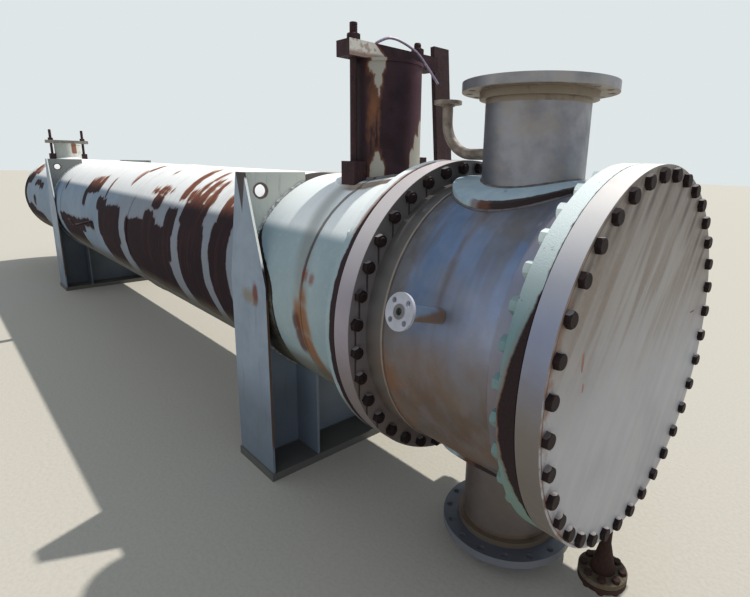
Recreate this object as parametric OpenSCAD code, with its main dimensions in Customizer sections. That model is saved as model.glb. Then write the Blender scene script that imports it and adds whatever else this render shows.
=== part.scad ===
/* [Vessel] */
// Height of the vessel axis above the floor
axis_height = 1065; // [700:10:1600]
// Outside diameter of the shell and of the channel barrel
shell_od = 1200; // [600:10:2000]
// Wall of the shell plates
shell_wall = 12; // [6:1:30]
// Wall of the channel barrel
channel_wall = 14; // [6:1:30]
// Front support to the outer face of the channel cover
front_reach = 1817; // [1400:5:2600]
// Front support to rear support, centre to centre
support_pitch = 5324; // [3000:10:8000]
// Front support to the tangent line of the rear head
tangent_reach = 7674; // [6500:10:9500]

/* [Body flanges] */
// How far the body flanges, the tubesheet and the cover stand out from the shell
body_flange_rise = 88; // [60:1:150]
// Rim of the body flanges to their bolt circle
body_bolt_edge = 33; // [24:1:60]
// Studs on each body joint
body_bolt_count = 36; // [24:4:48]
// Diameter of the stud holes
body_hole_d = 31; // [22:1:40]
// Thickness of the channel cover
cover_thick = 79; // [40:1:120]
// Thickness of the channel front flange
front_flange_thick = 62; // [40:1:120]
// Tubesheet face to cover face
channel_length = 844; // [600:2:1200]
// Thickness of the tubesheet
tubesheet_thick = 91; // [50:1:140]
// Thickness of the shell flange
shell_flange_thick = 58; // [40:1:120]
// Thickness of each body gasket
gasket_thick = 3; // [2:0.5:6]
// Bolt circle in to the rim of each gasket
gasket_edge = 20; // [17:0.5:30]
// How far each gasket reaches inside the shell's outer face
gasket_inset = 15; // [5:1:30]
// Width of the hub ring behind the channel front flange
hub_length = 96; // [20:2:160]
// How far the hub ring stands out from the barrel
hub_rise = 5; // [2:1:20]

/* [Channel nozzles] */
// Cover face to the axis of the two large nozzles
nozzle_back = 519; // [300:2:700]
// Outside diameter of the large nozzle pipes
nozzle_od = 406.4; // [219:0.1:610]
// Wall of the large nozzle pipes
nozzle_wall = 9.5; // [6:0.1:20]
// Shell to the gasket face of the large nozzles
nozzle_standout = 383; // [200:1:700]
// How far the large nozzle flanges stand out from their pipes
nozzle_flange_out = 95.3; // [60:0.1:150]
// Thickness of the large nozzle flanges
nozzle_flange_thick = 38; // [20:1:60]
// How far the hub under each large flange stands out from the pipe
nozzle_hub_out = 25.3; // [10:0.1:50]
// Height of that hub
nozzle_hub_height = 26; // [10:1:60]
// Outside of the large pipes to the bolt circle
nozzle_bolt_out = 66.7; // [50:0.1:120]
// Bolt holes in each large nozzle flange
nozzle_bolt_count = 16; // [8:4:24]
// Diameter of those bolt holes
nozzle_hole_d = 28.6; // [19:0.1:36]
// Outside of the large pipes to the rim of the raised face
nozzle_raised_out = 31.75; // [10:0.05:50]
// Height of the raised face
raised_height = 1.6; // [1:0.1:7]
// Width of the reinforcing pads round the large pipes
pad_width = 116.8; // [60:0.1:200]
// Thickness of the reinforcing pads
pad_thick = 22; // [8:1:30]
// Diameter of the tell-tale hole in each pad
tell_tale_d = 14; // [5:1:20]
// Outside of the large pipe to the tell-tale hole
tell_tale_out = 24; // [15:1:60]
// Nozzle axis forward to the tell-tale hole
tell_tale_forward = 36; // [0:1:60]

/* [Instrument nozzle] */
// Cover face to the axis of the instrument nozzle
side_back = 474; // [300:1:700]
// Angle of the instrument nozzle above the horizontal
side_angle = 16; // [0:1:40]
// Shell to its gasket face
side_standout = 201; // [80:1:350]
// Outside diameter of its neck
side_neck_od = 54; // [33:0.5:80]
// Bore of the instrument nozzle
side_bore = 25.4; // [15:0.1:50]
// Outside diameter of its flange
side_flange_od = 124; // [100:1:170]
// Thickness of its flange
side_flange_thick = 12; // [12:0.5:30]
// Bolt circle of its flange
side_bolt_circle = 88.9; // [70:0.1:130]
// Diameter of its four bolt holes
side_hole_d = 19; // [14:0.5:24]

/* [Vent elbow] */
// Pipe diameter of the vent
vent_od = 48.3; // [26:0.1:90]
// Wall of the vent pipe
vent_wall = 5; // [3:0.1:9]
// Gap between the vent's level run and the rim of the tubesheet
vent_gap = 1.85; // [1:0.05:40]
// Large nozzle axis to the vent riser
vent_offset = 472; // [350:1:600]
// Bend radius of the vent
vent_bend = 150; // [60:5:250]
// Level run of the vent to its gasket face
vent_riser = 237; // [180:1:400]
// Outside diameter of the vent flange
vent_flange_od = 127; // [100:1:170]
// Thickness of the vent flange
vent_flange_thick = 17.5; // [10:0.5:30]
// Bolt circle of the vent flange
vent_bolt_circle = 98.4; // [70:0.1:130]
// Diameter of its four bolt holes
vent_hole_d = 16; // [12:0.5:24]
// Raised face diameter of the vent flange
vent_raised_d = 73; // [60:0.5:80]
// Diameter of the hub under the vent flange
vent_hub_d = 66; // [55:0.5:80]
// Height of that hub
vent_hub_height = 8; // [3:0.5:20]

/* [Shell nozzles] */
// Outside diameter of the two shell nozzle pipes
shell_nozzle_od = 355.6; // [168:0.1:508]
// Wall of the shell nozzle pipes
shell_nozzle_wall = 9.5; // [6:0.1:20]
// Back of the shell flange to the front shell nozzle
front_nozzle_back = 419; // [300:1:600]
// Shell to the top of the front shell nozzle
front_nozzle_standout = 538; // [200:1:800]
// Tangent line of the rear head to the rear shell nozzle
rear_nozzle_back = 320; // [290:5:1500]
// Shell to the top of the rear shell nozzle
rear_nozzle_standout = 215; // [120:1:500]
// Thickness of the blind plates on both
blind_thick = 15; // [10:1:40]
// How far those plates overhang the pipe
blind_overhang = 7; // [0:0.5:30]
// Near clamp stud to the end of the front clamp bar
front_bar_near_end = 62; // [30:1:150]
// Far clamp stud to the other end of that bar
front_bar_far_end = 106; // [30:1:150]
// Width of that bar along the vessel
front_bar_width = 105; // [60:1:160]
// Height of that bar
front_bar_height = 72; // [30:1:100]
// Clamp studs to the ends of the rear clamp bar
rear_bar_end = 71; // [30:1:150]
// Width of that bar along the vessel
rear_bar_width = 90; // [60:1:160]
// Height of that bar
rear_bar_height = 48; // [20:1:100]
// Outside of the shell nozzle pipes to each clamp stud
clamp_stud_out = 36.2; // [30:0.1:80]
// Diameter of the clamp studs
clamp_stud_d = 40; // [20:1:50]
// Clearance of the holes round the clamp studs
clamp_stud_clearance = 1.5; // [0.5:0.1:4]
// Height of the clamp lugs above the top of the shell
lug_rise = 72; // [30:1:160]
// Height of the far lug on the front nozzle above the top of the shell
far_lug_rise = 100; // [30:1:160]
// Half the length of each clamp lug
lug_half = 38; // [25:1:60]
// Depth of the stud holes in the lugs
lug_hole_depth = 46; // [20:1:60]
// Nozzle axis forward to the upright bar, at the level of its weld
upright_forward = 65; // [0:1:100]
// Thickness of the upright bar
upright_thick = 28; // [15:1:40]
// Gap between the clamp bar and the upright bar
upright_gap = 1; // [1:0.5:40]
// Width of the upright bar
upright_width = 119; // [60:1:160]
// Height of the upright bar above the top of the shell
upright_rise = 688; // [400:1:900]
// Height of its weld above the top of the shell
upright_weld_rise = 160; // [0:1:300]
// Lean of the upright bar toward the rear, in degrees
upright_lean = 5; // [0:0.5:15]
// Width of the pads round the shell nozzles
shell_pad_width = 82.2; // [40:0.1:150]
// Thickness of those pads
shell_pad_thick = 10; // [6:1:20]

/* [Drain] */
// Cover face to the drain axis
drain_back = 46; // [20:1:78]
// Outside diameter of the drain pipe
drain_od = 42.4; // [33:0.1:90]
// Wall of the drain pipe
drain_wall = 5; // [2:0.1:9]
// Depth of the drain hole in the cover
drain_hole_depth = 60; // [20:1:120]
// Rim of the cover to the face between the drain flanges
drain_drop = 259; // [180:1:320]
// Outside diameter of the drain flanges
drain_flange_od = 190.5; // [150:1:230]
// Thickness of each drain flange
drain_flange_thick = 20; // [15:1:40]
// Gap between the two drain flanges outside their raised face
drain_gap = 2; // [1:0.5:6]
// Diameter of the drain neck at its flange
drain_neck_od = 98; // [70:1:120]
// Height of the tapered drain neck
drain_neck_height = 125; // [30:1:140]
// Bolt circle of the drain flanges
drain_bolt_circle = 149.2; // [120:1:190]
// Bolt holes in the drain flanges
drain_bolt_count = 8; // [4:4:12]
// Diameter of those bolt holes
drain_hole_d = 22; // [14:0.5:24]

/* [Supports] */
// How far each web plate stands out from the shell's side
web_margin = 1; // [1:0.5:150]
// Thickness of the web plates
web_thick = 16; // [8:1:30]
// Thickness of the side plates
side_plate_thick = 12; // [8:1:30]
// Width of the side plates along the vessel
side_plate_width = 384; // [200:5:600]
// Width of the side plates at their top
side_plate_top = 88; // [60:5:200]
// Height of the kink in the side plates above the vessel axis
side_plate_kink = 40; // [0:2:300]
// Middle of the side plates back to the web plate
web_back = 30; // [0:1:120]
// Top of the support plates above the top of the shell
support_rise = 5; // [0:1:100]
// Half the width of the open top of each web
web_open_half = 228; // [100:5:400]
// Lifting hole diameter
lifting_hole_d = 66; // [40:1:100]
// Side edge of the web plate to the lifting hole
lifting_hole_in = 98; // [60:1:150]
// Top of the web plate down to the lifting hole
lifting_hole_down = 96; // [60:1:150]
// Rib from the middle of the vessel
rib_y = 317; // [100:5:500]
// Thickness of the ribs
rib_thick = 14; // [8:1:30]
// Thickness of the base plates
base_thick = 45; // [12:1:80]
// How far the base plates reach past the side plates, along the vessel
base_ledge_end = 4; // [0:1:80]
// How far the base plates reach past the side plates, across the vessel
base_ledge_side = 8; // [0:1:80]

/* [Shell courses] */
// Back of the shell flange to the first seam
first_course = 330; // [300:5:900]

/* [Rear head] */
// Crown radius of the rear head
crown_radius = 1080; // [800:1:1190]
// Knuckle radius of the rear head
knuckle_radius = 204; // [80:1:300]
// Straight flange of the rear head
straight_flange = 50; // [20:5:120]

/* [Bracket] */
// Front support to the bracket on the near side of the shell
bracket_reach = 3396; // [2500:10:5000]
// Length of its arm
bracket_arm = 158; // [80:1:300]
// Length of its upturned end
bracket_upturn = 78; // [30:1:150]
// Width of the bracket along the vessel
bracket_width = 80; // [40:1:160]
// Thickness of the bracket plate
bracket_thick = 12; // [6:1:20]
// Height of its arm at the shell above the vessel axis
bracket_rise = 22; // [0:1:200]
// Fall of its arm toward the end, in degrees
bracket_fall = 11; // [0:1:30]
// Lean of the upturned end, in degrees
bracket_lean = 20; // [0:1:45]

/* [Hidden] */
fit_gap = 0.3;
slack = 50;
shell_r = shell_od / 2;
body_flange_od = shell_od + 2 * body_flange_rise;
body_bolt_circle = body_flange_od - 2 * body_bolt_edge;
cover_x = front_reach;
cover_back_x = cover_x - cover_thick;
front_flange_x = cover_back_x - gasket_thick;
front_flange_back_x = front_flange_x - front_flange_thick;
tubesheet_x = cover_x - channel_length;
tubesheet_back_x = tubesheet_x - tubesheet_thick;
shell_flange_x = tubesheet_back_x - gasket_thick;
shell_flange_back_x = shell_flange_x - shell_flange_thick;
nozzle_x = cover_x - nozzle_back;
side_x = cover_x - side_back;
tangent_x = -tangent_reach;
head_x = tangent_x + straight_flange;
first_seam_x = shell_flange_back_x - first_course;
course_length = (first_seam_x - head_x) / 3;
shell_bore = shell_od - 2 * shell_wall;
channel_bore = shell_od - 2 * channel_wall;
nozzle_bore = nozzle_od - 2 * nozzle_wall;
nozzle_reach = shell_r + nozzle_standout;
nozzle_flange_od = nozzle_od + 2 * nozzle_flange_out;
nozzle_hub_od = nozzle_od + 2 * nozzle_hub_out;
nozzle_bolt_circle = nozzle_od + 2 * nozzle_bolt_out;
nozzle_raised_d = nozzle_od + 2 * nozzle_raised_out;
pad_d = nozzle_od + 2 * pad_width;
side_reach = shell_r + side_standout;
vent_bore = vent_od - 2 * vent_wall;
vent_x = nozzle_x - vent_offset;
vent_run_rise = body_flange_od / 2 + vent_gap + vent_od / 2;
vent_reach = vent_run_rise + vent_riser;
shell_nozzle_bore = shell_nozzle_od - 2 * shell_nozzle_wall;
shell_pad_d = shell_nozzle_od + 2 * shell_pad_width;
front_nozzle_x = shell_flange_back_x - front_nozzle_back;
front_nozzle_top = shell_r + front_nozzle_standout;
rear_nozzle_x = tangent_x + rear_nozzle_back;
rear_nozzle_top = shell_r + rear_nozzle_standout;
front_bar_z = front_nozzle_top + blind_thick;
rear_bar_z = rear_nozzle_top + blind_thick;
clamp_stud_y = shell_nozzle_od / 2 + clamp_stud_out;
clamp_hole_d = clamp_stud_d + 2 * clamp_stud_clearance;
lug_top = shell_r + lug_rise;
far_lug_top = shell_r + far_lug_rise;
lug_foot = sqrt(pow(shell_r, 2) - pow(clamp_stud_y + lug_half, 2)) - slack;
upright_y = clamp_stud_y + front_bar_far_end + upright_gap;
upright_foot = upright_weld_rise + shell_r / 2;
upright_above = (upright_rise - upright_weld_rise) / cos(upright_lean);
drain_x = cover_x - drain_back;
drain_bore = drain_od - 2 * drain_wall;
drain_reach = body_flange_od / 2 + drain_drop;
web_half_width = shell_r + web_margin;
support_top = shell_r + support_rise;
lifting_hole_y = web_half_width - lifting_hole_in;
lifting_hole_z = support_top - lifting_hole_down;
$fn = 96;

module along(x) {
    translate([x, 0, axis_height])
        rotate([0, 90, 0])
            children();
}

module ring(outer, inner, length) {
    difference() {
        cylinder(d = outer, h = length);
        translate([0, 0, -slack])
            cylinder(d = inner, h = length + 2 * slack);
    }
}

module hole_circle(circle_d, count, hole_d, length) {
    for (i = [0 : count - 1])
        rotate([0, 0, (i + 0.5) * 360 / count])
            translate([circle_d / 2, 0, -slack])
                cylinder(d = hole_d, h = length + 2 * slack, $fn = 32);
}

module body_ring(x, length, inner) {
    along(x)
        difference() {
            ring(body_flange_od, inner, length);
            hole_circle(body_bolt_circle, body_bolt_count, body_hole_d, length);
        }
}

// Channel
module channel_cover() {
    color("#8f8a84")
        along(cover_back_x)
            difference() {
                cylinder(d = body_flange_od, h = cover_thick);
                hole_circle(body_bolt_circle, body_bolt_count, body_hole_d, cover_thick);
                translate([drain_reach, 0, cover_thick - drain_back])
                    rotate([0, -90, 0])
                        cylinder(d = drain_bore, h = drain_drop + drain_hole_depth);
            }
}

module cover_gasket() {
    color("#3a2a26")
        along(cover_back_x - gasket_thick)
            ring(body_bolt_circle - 2 * gasket_edge, shell_od - 2 * gasket_inset, gasket_thick);
}

module channel_front_flange() {
    color("#8fb5a4")
        body_ring(front_flange_back_x, front_flange_thick, shell_od + 2 * fit_gap);
}

module channel_barrel() {
    color("#77777c")
        difference() {
            union() {
                along(tubesheet_x)
                    cylinder(d = shell_od, h = front_flange_x - tubesheet_x);
                along(front_flange_back_x - hub_length)
                    cylinder(d = shell_od + 2 * hub_rise, h = hub_length - fit_gap);
            }
            along(tubesheet_x - slack)
                cylinder(d = channel_bore, h = channel_length + slack);
            translate([nozzle_x, 0, 0])
                cylinder(d = nozzle_bore, h = axis_height * 2);
            instrument_place(0)
                cylinder(d = side_bore, h = side_reach, $fn = 48);
        }
}

module tubesheet() {
    color("#86858a")
        along(tubesheet_back_x)
            difference() {
                cylinder(d = body_flange_od, h = tubesheet_thick);
                hole_circle(body_bolt_circle, body_bolt_count, body_hole_d, tubesheet_thick);
            }
}

module tubesheet_gasket() {
    color("#33241f")
        along(tubesheet_back_x - gasket_thick)
            ring(body_bolt_circle - 2 * gasket_edge, shell_od - 2 * gasket_inset, gasket_thick);
}

// Large nozzles, drawn pointing up and turned for the bottom one
module large_neck() {
    difference() {
        ring(nozzle_od, nozzle_bore, nozzle_reach - raised_height);
        translate([-nozzle_od, 0, 0])
            rotate([0, 90, 0])
                cylinder(r = shell_r + fit_gap, h = 2 * nozzle_od);
    }
}

module large_flange() {
    translate([0, 0, nozzle_reach - nozzle_flange_thick])
        difference() {
            union() {
                cylinder(d = nozzle_flange_od, h = nozzle_flange_thick - raised_height);
                cylinder(d = nozzle_raised_d, h = nozzle_flange_thick);
                translate([0, 0, -nozzle_hub_height])
                    cylinder(d = nozzle_hub_od, h = nozzle_hub_height + 1);
            }
            translate([0, 0, -slack])
                cylinder(d = nozzle_od + 2 * fit_gap, h = nozzle_flange_thick + 2 * slack);
            hole_circle(nozzle_bolt_circle, nozzle_bolt_count, nozzle_hole_d, nozzle_flange_thick);
        }
}

module curved_pad(outer_d, inner_d, thick) {
    intersection() {
        translate([-outer_d, 0, 0])
            rotate([0, 90, 0])
                difference() {
                    cylinder(r = shell_r + fit_gap + thick, h = 2 * outer_d);
                    translate([0, 0, -slack])
                        cylinder(r = shell_r + fit_gap, h = 2 * outer_d + 2 * slack);
                }
        difference() {
            cylinder(d = outer_d, h = shell_od);
            translate([0, 0, -slack])
                cylinder(d = inner_d + 2 * fit_gap, h = shell_od + 2 * slack);
        }
    }
}

module large_pad() {
    difference() {
        curved_pad(pad_d, nozzle_od, pad_thick);
        translate([tell_tale_forward, -(nozzle_od / 2 + tell_tale_out), 0])
            cylinder(d = tell_tale_d, h = shell_od, $fn = 32);
    }
}

module upward() {
    translate([nozzle_x, 0, axis_height])
        children();
}

module downward() {
    translate([nozzle_x, 0, axis_height])
        rotate([180, 0, 0])
            children();
}

module top_nozzle_neck() {
    color("#75757a")
        difference() {
            upward() large_neck();
            translate([nozzle_x, 0, axis_height + vent_run_rise])
                rotate([0, -90, 0])
                    cylinder(d = vent_bore, h = nozzle_od, $fn = 48);
        }
}

module top_nozzle_flange() {
    color("#6f6c68")
        upward() large_flange();
}

module top_nozzle_pad() {
    color("#7fa0ad")
        upward() large_pad();
}

module bottom_nozzle_neck() {
    color("#6e6b66")
        downward() large_neck();
}

module bottom_nozzle_flange() {
    color("#63626a")
        downward() large_flange();
}

module bottom_nozzle_pad() {
    color("#4a3a32")
        downward() large_pad();
}

// Instrument nozzle
module instrument_place(distance) {
    translate([side_x, 0, axis_height])
        rotate([90 - side_angle, 0, 0])
            translate([0, 0, distance])
                children();
}

module instrument_nozzle() {
    color("#b9bcc8")
        difference() {
            instrument_place(0)
                difference() {
                    union() {
                        cylinder(d = side_neck_od, h = side_reach - side_flange_thick + 1, $fn = 64);
                        translate([0, 0, side_reach - side_flange_thick])
                            cylinder(d = side_flange_od, h = side_flange_thick - raised_height);
                        translate([0, 0, side_reach - side_flange_thick])
                            cylinder(d = side_bore * 2, h = side_flange_thick, $fn = 64);
                    }
                    cylinder(d = side_bore, h = side_reach + slack, $fn = 48);
                    for (i = [0 : 3])
                        rotate([0, 0, 45 + 90 * i])
                            translate([side_bolt_circle / 2, 0, side_reach - 2 * side_flange_thick])
                                cylinder(d = side_hole_d, h = 3 * side_flange_thick, $fn = 32);
                }
            along(tubesheet_x)
                cylinder(d = shell_od + 2 * fit_gap, h = channel_length);
        }
}

// Vent with a long bend beside the top nozzle
module vent_pipe() {
    color("#8c8980")
        translate([0, 0, axis_height])
            difference() {
                union() {
                    translate([nozzle_x, 0, vent_run_rise])
                        rotate([0, -90, 0])
                            cylinder(d = vent_od, h = vent_offset - vent_bend, $fn = 48);
                    translate([vent_x + vent_bend, 0, vent_run_rise + vent_bend])
                        rotate([90, 0, 0])
                            rotate_extrude(angle = 90, start = 180, $fn = 96)
                                translate([vent_bend, 0])
                                    circle(d = vent_od, $fn = 48);
                    translate([vent_x, 0, vent_run_rise + vent_bend])
                        cylinder(d = vent_od, h = vent_reach - vent_run_rise - vent_bend - raised_height,
                            $fn = 48);
                }
                translate([nozzle_x + slack, 0, vent_run_rise])
                    rotate([0, -90, 0])
                        cylinder(d = vent_bore, h = vent_offset - vent_bend + slack, $fn = 48);
                translate([vent_x + vent_bend, 0, vent_run_rise + vent_bend])
                    rotate([90, 0, 0])
                        rotate_extrude(angle = 90, start = 180, $fn = 96)
                            translate([vent_bend, 0])
                                circle(d = vent_bore, $fn = 48);
                translate([vent_x, 0, vent_run_rise + vent_bend])
                    cylinder(d = vent_bore, h = vent_reach, $fn = 48);
                translate([nozzle_x, 0, 0])
                    cylinder(d = nozzle_od + 2 * fit_gap, h = nozzle_reach);
            }
}

module vent_flange() {
    color("#85827b")
        translate([vent_x, 0, axis_height + vent_reach - vent_flange_thick])
            difference() {
                union() {
                    cylinder(d = vent_flange_od, h = vent_flange_thick - raised_height);
                    cylinder(d = vent_raised_d, h = vent_flange_thick, $fn = 64);
                    translate([0, 0, -vent_hub_height])
                        cylinder(d = vent_hub_d, h = vent_hub_height + 1, $fn = 64);
                }
                translate([0, 0, -slack])
                    cylinder(d = vent_od + 2 * fit_gap, h = 3 * slack, $fn = 48);
                hole_circle(vent_bolt_circle, 4, vent_hole_d, vent_flange_thick);
            }
}

// Drain under the cover joint
module drain_pipe() {
    color("#3d2620")
        translate([drain_x, 0, axis_height])
            difference() {
                union() {
                    translate([0, 0, -drain_reach + drain_flange_thick])
                        cylinder(d = drain_od, h = drain_reach - drain_flange_thick, $fn = 48);
                    translate([0, 0, -drain_reach + drain_flange_thick])
                        cylinder(d1 = drain_neck_od, d2 = drain_od, h = drain_neck_height, $fn = 48);
                }
                translate([0, 0, -drain_reach])
                    cylinder(d = drain_bore, h = drain_reach + slack, $fn = 48);
                translate([-cover_thick, 0, 0])
                    rotate([0, 90, 0])
                        cylinder(d = body_flange_od + 2 * fit_gap, h = 2 * cover_thick);
            }
}

module drain_flange() {
    color("#4a2c22")
        translate([drain_x, 0, axis_height - drain_reach])
            difference() {
                cylinder(d = drain_flange_od, h = drain_flange_thick);
                translate([0, 0, -slack])
                    cylinder(d = drain_bore, h = 3 * slack, $fn = 48);
                hole_circle(drain_bolt_circle, drain_bolt_count, drain_hole_d, drain_flange_thick);
            }
}

module drain_blind() {
    color("#3a251f")
        translate([drain_x, 0, axis_height - drain_reach - drain_gap - drain_flange_thick])
            difference() {
                union() {
                    cylinder(d = drain_flange_od, h = drain_flange_thick);
                    cylinder(d = drain_neck_od, h = drain_flange_thick + drain_gap, $fn = 64);
                }
                hole_circle(drain_bolt_circle, drain_bolt_count, drain_hole_d, drain_flange_thick);
            }
}

// Shell
module shell_flange() {
    color("#9bbcae")
        body_ring(shell_flange_back_x, shell_flange_thick, shell_od + 2 * fit_gap);
}

module course(x0, x1) {
    along(x0)
        ring(shell_od, shell_bore, x1 - x0);
}

module nozzle_opening(x) {
    translate([x, 0, axis_height])
        cylinder(d = shell_nozzle_bore, h = shell_od);
}

module shell_front_course() {
    color("#7f98a0")
        difference() {
            course(first_seam_x, shell_flange_x);
            nozzle_opening(front_nozzle_x);
        }
}

module shell_middle_course() {
    color("#7f939c")
        difference() {
            course(first_seam_x - course_length, first_seam_x);
            nozzle_opening(front_nozzle_x);
        }
}

module shell_long_course() {
    color("#5a3330")
        course(first_seam_x - 2 * course_length, first_seam_x - course_length);
}

module shell_rear_course() {
    color("#74858e")
        difference() {
            course(head_x, first_seam_x - 2 * course_length);
            nozzle_opening(rear_nozzle_x);
        }
}

function arc_points(x, y, r, from, to, steps) =
    [for (i = [0 : steps]) [x + r * cos(from + (to - from) * i / steps),
        y + r * sin(from + (to - from) * i / steps)]];

// One side of the head, from its rim up to just short of the middle
function head_line(r, crown, knuckle) =
    let (centre = -sqrt(pow(crown - knuckle, 2) - pow(r - knuckle, 2)),
        turn = atan2(-centre, r - knuckle))
    concat([[r, -straight_flange]],
        arc_points(r - knuckle, 0, knuckle, 0, turn, 8),
        arc_points(0, centre, crown, turn + (90 - turn) / 12, 90 - (90 - turn) / 12, 10),
        [[0, centre + crown * sin(90 - (90 - turn) / 12)]]);

function turned_round(points) =
    [for (i = [len(points) - 1 : -1 : 0]) points[i]];

module rear_head() {
    color("#6b3b33")
        translate([tangent_x, 0, axis_height])
            rotate([0, -90, 0])
                rotate_extrude($fn = 180)
                    polygon(concat(head_line(shell_r, crown_radius, knuckle_radius),
                        turned_round(head_line(shell_r - shell_wall, crown_radius - shell_wall,
                            knuckle_radius - shell_wall))));
}

// Shell nozzles with clamped blind plates
module shell_neck(top) {
    difference() {
        ring(shell_nozzle_od, shell_nozzle_bore, top);
        translate([-shell_od, 0, 0])
            rotate([0, 90, 0])
                cylinder(r = shell_r + fit_gap, h = 2 * shell_od);
    }
}

module clamp_bar(near, far, width, height) {
    difference() {
        translate([-width / 2, -near, 0])
            cube([width, near + far, height]);
        for (side = [-1, 1])
            translate([0, side * clamp_stud_y, -slack])
                cylinder(d = clamp_hole_d, h = height + 2 * slack, $fn = 48);
    }
}

module clamp_lugs(width, far_top) {
    difference() {
        for (side = [-1, 1])
            translate([-width / 2, side * clamp_stud_y - lug_half, lug_foot])
                cube([width, 2 * lug_half, (side < 0 ? lug_top : far_top) - lug_foot]);
        translate([-shell_od, 0, 0])
            rotate([0, 90, 0])
                cylinder(r = shell_r + shell_pad_thick + 2 * fit_gap, h = 2 * shell_od);
        for (side = [-1, 1])
            translate([0, side * clamp_stud_y, lug_top - lug_hole_depth])
                cylinder(d = clamp_hole_d, h = 2 * slack, $fn = 48);
        cylinder(d = shell_nozzle_od + 2 * fit_gap, h = shell_od);
    }
}

module front_nozzle_neck() {
    color("#3c2220")
        translate([front_nozzle_x, 0, axis_height])
            shell_neck(front_nozzle_top);
}

module front_nozzle_pad() {
    color("#6a6a52")
        translate([front_nozzle_x, 0, axis_height])
            curved_pad(shell_pad_d, shell_nozzle_od, shell_pad_thick);
}

module front_nozzle_blind() {
    color("#4b3230")
        translate([front_nozzle_x, 0, axis_height + front_nozzle_top])
            cylinder(d = shell_nozzle_od + 2 * blind_overhang, h = blind_thick);
}

module front_clamp_bar() {
    color("#4a3133")
        translate([front_nozzle_x, 0, axis_height + front_bar_z])
            clamp_bar(clamp_stud_y + front_bar_near_end, clamp_stud_y + front_bar_far_end,
                front_bar_width, front_bar_height);
}

module front_clamp_lugs() {
    color("#2f2020")
        translate([front_nozzle_x, 0, axis_height])
            clamp_lugs(front_bar_width, far_lug_top);
}

module front_upright_bar() {
    color("#40292c")
        translate([front_nozzle_x + upright_forward, 0, axis_height])
            difference() {
                translate([0, upright_y, shell_r + upright_weld_rise])
                    rotate([0, -upright_lean, 0])
                        translate([-upright_thick, 0, -upright_foot])
                            cube([upright_thick, upright_width, upright_foot + upright_above]);
                translate([-shell_od, 0, 0])
                    rotate([0, 90, 0])
                        cylinder(r = shell_r + fit_gap, h = 2 * shell_od);
            }
}

module rear_nozzle_neck() {
    color("#8d8f8c")
        translate([rear_nozzle_x, 0, axis_height])
            shell_neck(rear_nozzle_top);
}

module rear_nozzle_pad() {
    color("#8fa3a3")
        translate([rear_nozzle_x, 0, axis_height])
            curved_pad(shell_pad_d, shell_nozzle_od, shell_pad_thick);
}

module rear_nozzle_blind() {
    color("#6d6c68")
        translate([rear_nozzle_x, 0, axis_height + rear_nozzle_top])
            cylinder(d = shell_nozzle_od + 2 * blind_overhang, h = blind_thick);
}

module rear_clamp_bar() {
    color("#77756e")
        translate([rear_nozzle_x, 0, axis_height + rear_bar_z])
            clamp_bar(clamp_stud_y + rear_bar_end, clamp_stud_y + rear_bar_end,
                rear_bar_width, rear_bar_height);
}

module rear_clamp_lugs() {
    color("#2b1f1f")
        translate([rear_nozzle_x, 0, axis_height])
            clamp_lugs(rear_bar_width, lug_top);
}

// Supports, drawn about the middle of the web plate
module support_web() {
    difference() {
        translate([-web_back - web_thick / 2, -web_half_width, base_thick])
            cube([web_thick, 2 * web_half_width, axis_height + support_top - base_thick]);
        translate([-web_back - slack, 0, axis_height])
            rotate([0, 90, 0])
                cylinder(r = shell_r + fit_gap, h = 2 * slack);
        translate([-web_back - slack, -web_open_half, axis_height])
            cube([2 * slack, 2 * web_open_half, 2 * shell_od]);
        for (side = [-1, 1])
            translate([-web_back - slack, side * lifting_hole_y, axis_height + lifting_hole_z])
                rotate([0, 90, 0])
                    cylinder(d = lifting_hole_d, h = 2 * slack);
    }
}

module support_sides() {
    for (side = [-1, 1])
        translate([0, side * (web_half_width + side_plate_thick / 2), 0])
            rotate([90, 0, 0])
                linear_extrude(height = side_plate_thick, center = true)
                    polygon([
                        [-side_plate_width / 2, base_thick],
                        [side_plate_width / 2, base_thick],
                        [side_plate_width / 2, axis_height + side_plate_kink],
                        [side_plate_top / 2 - web_back, axis_height + support_top],
                        [-side_plate_top / 2 - web_back, axis_height + support_top],
                        [-side_plate_width / 2, axis_height + side_plate_kink]]);
}

module support_ribs() {
    difference() {
        for (side = [-1, 1])
            for (end = [-1, 1])
                translate([end > 0 ? web_thick / 2 - web_back : -side_plate_width / 2,
                        side * rib_y - rib_thick / 2, base_thick])
                    cube([(side_plate_width - web_thick) / 2 + end * web_back, rib_thick,
                        axis_height - base_thick]);
        translate([-side_plate_width, 0, axis_height])
            rotate([0, 90, 0])
                cylinder(r = shell_r + fit_gap, h = 2 * side_plate_width);
    }
}

module support_base() {
    half_length = side_plate_width / 2 + base_ledge_end;
    half_width = web_half_width + side_plate_thick + base_ledge_side;
    translate([-half_length, -half_width, 0])
        cube([2 * half_length, 2 * half_width, base_thick]);
}

module front_support_web() {
    color("#8f978f") support_web();
}

module front_support_sides() {
    color("#6d7a88") support_sides();
}

module front_support_ribs() {
    color("#5c6a70") support_ribs();
}

module front_support_base() {
    color("#5a5e60") support_base();
}

module rear_support_web() {
    color("#7e8c88") translate([-support_pitch, 0, 0]) support_web();
}

module rear_support_sides() {
    color("#5f6a80") translate([-support_pitch, 0, 0]) support_sides();
}

module rear_support_ribs() {
    color("#55626a") translate([-support_pitch, 0, 0]) support_ribs();
}

module rear_support_base() {
    color("#4e5254") translate([-support_pitch, 0, 0]) support_base();
}

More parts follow.
